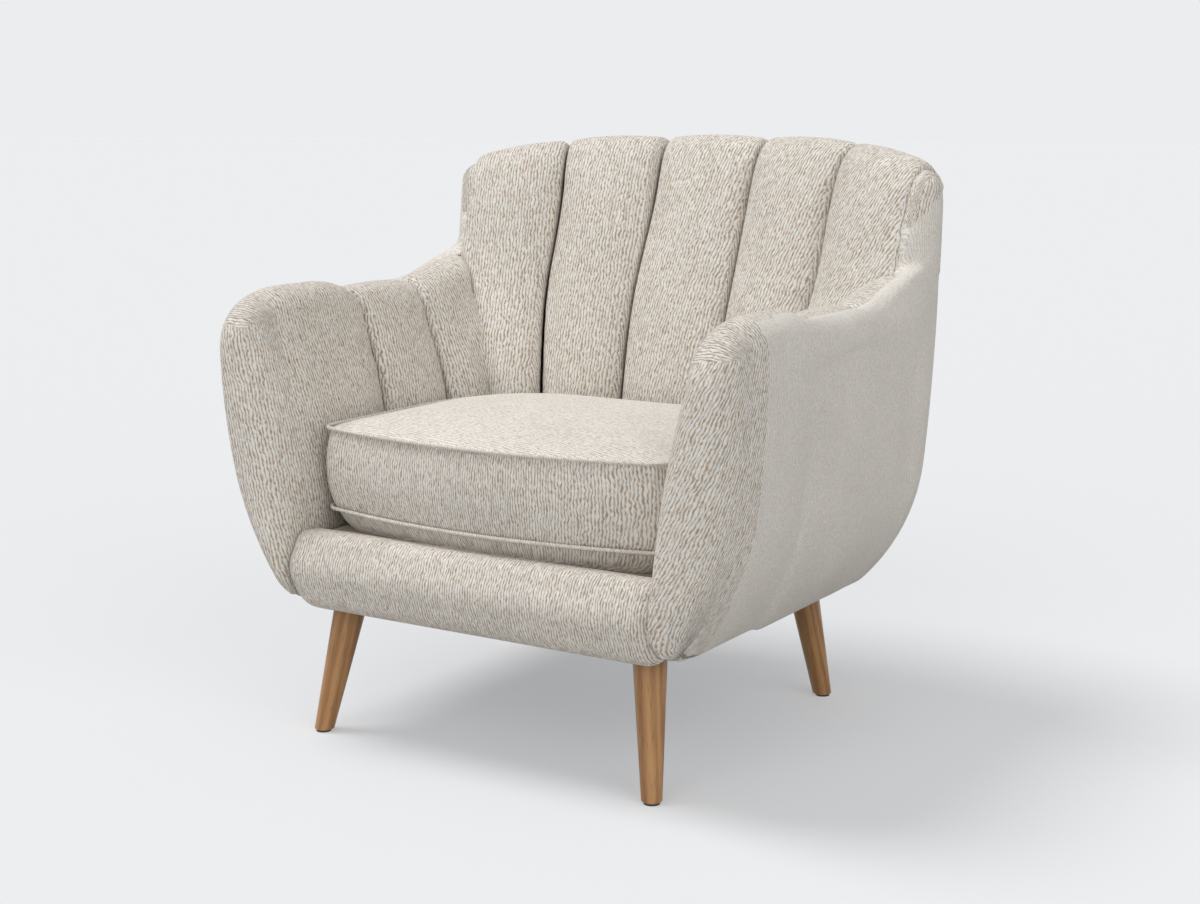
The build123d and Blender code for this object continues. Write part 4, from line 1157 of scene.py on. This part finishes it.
class ARMCHAIR_OT_stage(bpy.types.Operator):
    """Lays the floor, lights it softly and sets the camera"""

    bl_idname = "armchair.stage"
    bl_label = "Stage"

    def execute(self, context):
        settings = context.scene.armchair
        scene = context.scene
        scene.view_settings.view_transform = "Standard"
        bm = bmesh.new()
        bmesh.ops.create_grid(bm, x_segments=4, y_segments=4, size=60)
        floor = new_object("studio_floor", bm)
        material = bpy.data.materials.new("studio_floor")
        tree = clear_tree(material)
        lit = put(tree, "ShaderNodeBsdfDiffuse", Color=(*(0.875 * part for part in settings.floor), 1))
        pale = put(tree, "ShaderNodeEmission", Color=(*settings.floor, 1), Strength=1.0)
        shown = put(tree, "ShaderNodeMixShader", in0=0.40, in1=lit.outputs[0], in2=pale.outputs[0])
        bounce = put(tree, "ShaderNodeBsdfDiffuse", Color=(0.55, 0.55, 0.55, 1))
        seen = seen_directly(tree)
        shader = put(tree, "ShaderNodeMixShader", in0=seen, in1=bounce.outputs[0], in2=shown.outputs[0])
        put(tree, "ShaderNodeOutputMaterial", Surface=shader.outputs[0])
        floor.data.materials.append(material)
        scene.world = bpy.data.worlds.new("studio")
        tree = clear_tree(scene.world)
        way = put(tree, "ShaderNodeTexCoord").outputs["Generated"]
        up = put(tree, "ShaderNodeSeparateXYZ", in0=way).outputs["Z"]
        sky = mapped(tree, up, 0.0, 1.0, 0.15, 0.42)
        ambient = put(tree, "ShaderNodeBackground", Color=(1.0, 0.99, 0.975, 1), Strength=sky)
        backdrop = put(tree, "ShaderNodeBackground", Color=(*settings.floor, 1), Strength=1.0)
        seen = seen_directly(tree)
        mixed = put(tree, "ShaderNodeMixShader", in0=seen, in1=ambient.outputs[0], in2=backdrop.outputs[0])
        put(tree, "ShaderNodeOutputWorld", Surface=mixed.outputs[0])
        for name, towards, strength, spread in (
            ("key", (0.50, 0.15, -1.0), 2.00, 26),
            ("front", (-0.10, 0.95, -0.50), 0.88, 50),
            ("side", (-0.85, 0.35, -0.50), 0.88, 50),
        ):
            lamp = bpy.data.lights.new(name, "SUN")
            lamp.energy = strength
            lamp.angle = math.radians(spread)
            placed = bpy.data.objects.new(name, lamp)
            placed.rotation_euler = Vector(towards).to_track_quat("-Z", "Y").to_euler()
            scene.collection.objects.link(placed)
        turn = math.radians(CAMERA_TURN)
        pitch = math.radians(CAMERA_PITCH)
        level = math.cos(pitch)
        behind = Vector((math.sin(turn) * level, -math.cos(turn) * level, math.sin(pitch)))
        lens = bpy.data.cameras.new("camera")
        lens.sensor_fit = "HORIZONTAL"
        lens.sensor_width = CAMERA_SENSOR
        lens.lens = CAMERA_LENS
        camera = bpy.data.objects.new("camera", lens)
        camera.location = CAMERA_PLACE
        camera.rotation_euler = (-behind).to_track_quat("-Z", "Y").to_euler()
        scene.collection.objects.link(camera)
        scene.camera = camera
        return {"FINISHED"}


class ARMCHAIR_PT_panel(bpy.types.Panel):
    """Lists the steps that dress the armchair"""

    bl_idname = "ARMCHAIR_PT_panel"
    bl_label = "Armchair"
    bl_space_type = "VIEW_3D"
    bl_region_type = "UI"
    bl_category = "Armchair"

    def draw(self, context):
        settings = context.scene.armchair
        for key in ArmchairSettings.__annotations__:
            self.layout.prop(settings, key)
        for step in STEPS:
            self.layout.operator(step.bl_idname)


STEPS = (
    ARMCHAIR_OT_back_channels,
    ARMCHAIR_OT_arms,
    ARMCHAIR_OT_outside,
    ARMCHAIR_OT_front_border,
    ARMCHAIR_OT_seat_cushion,
    ARMCHAIR_OT_piping,
    ARMCHAIR_OT_inside,
    ARMCHAIR_OT_legs,
    ARMCHAIR_OT_fittings,
    ARMCHAIR_OT_stage,
)
CLASSES = (ArmchairSettings, *STEPS, ARMCHAIR_PT_panel)


def register():
    for found in CLASSES:
        bpy.utils.register_class(found)
    bpy.types.Scene.armchair = PointerProperty(type=ArmchairSettings)


def unregister():
    del bpy.types.Scene.armchair
    for found in reversed(CLASSES):
        bpy.utils.unregister_class(found)


def main():
    register()
    for step in STEPS:
        group, name = step.bl_idname.split(".")
        getattr(getattr(bpy.ops, group), name)()


if __name__ == "__main__":
    main()
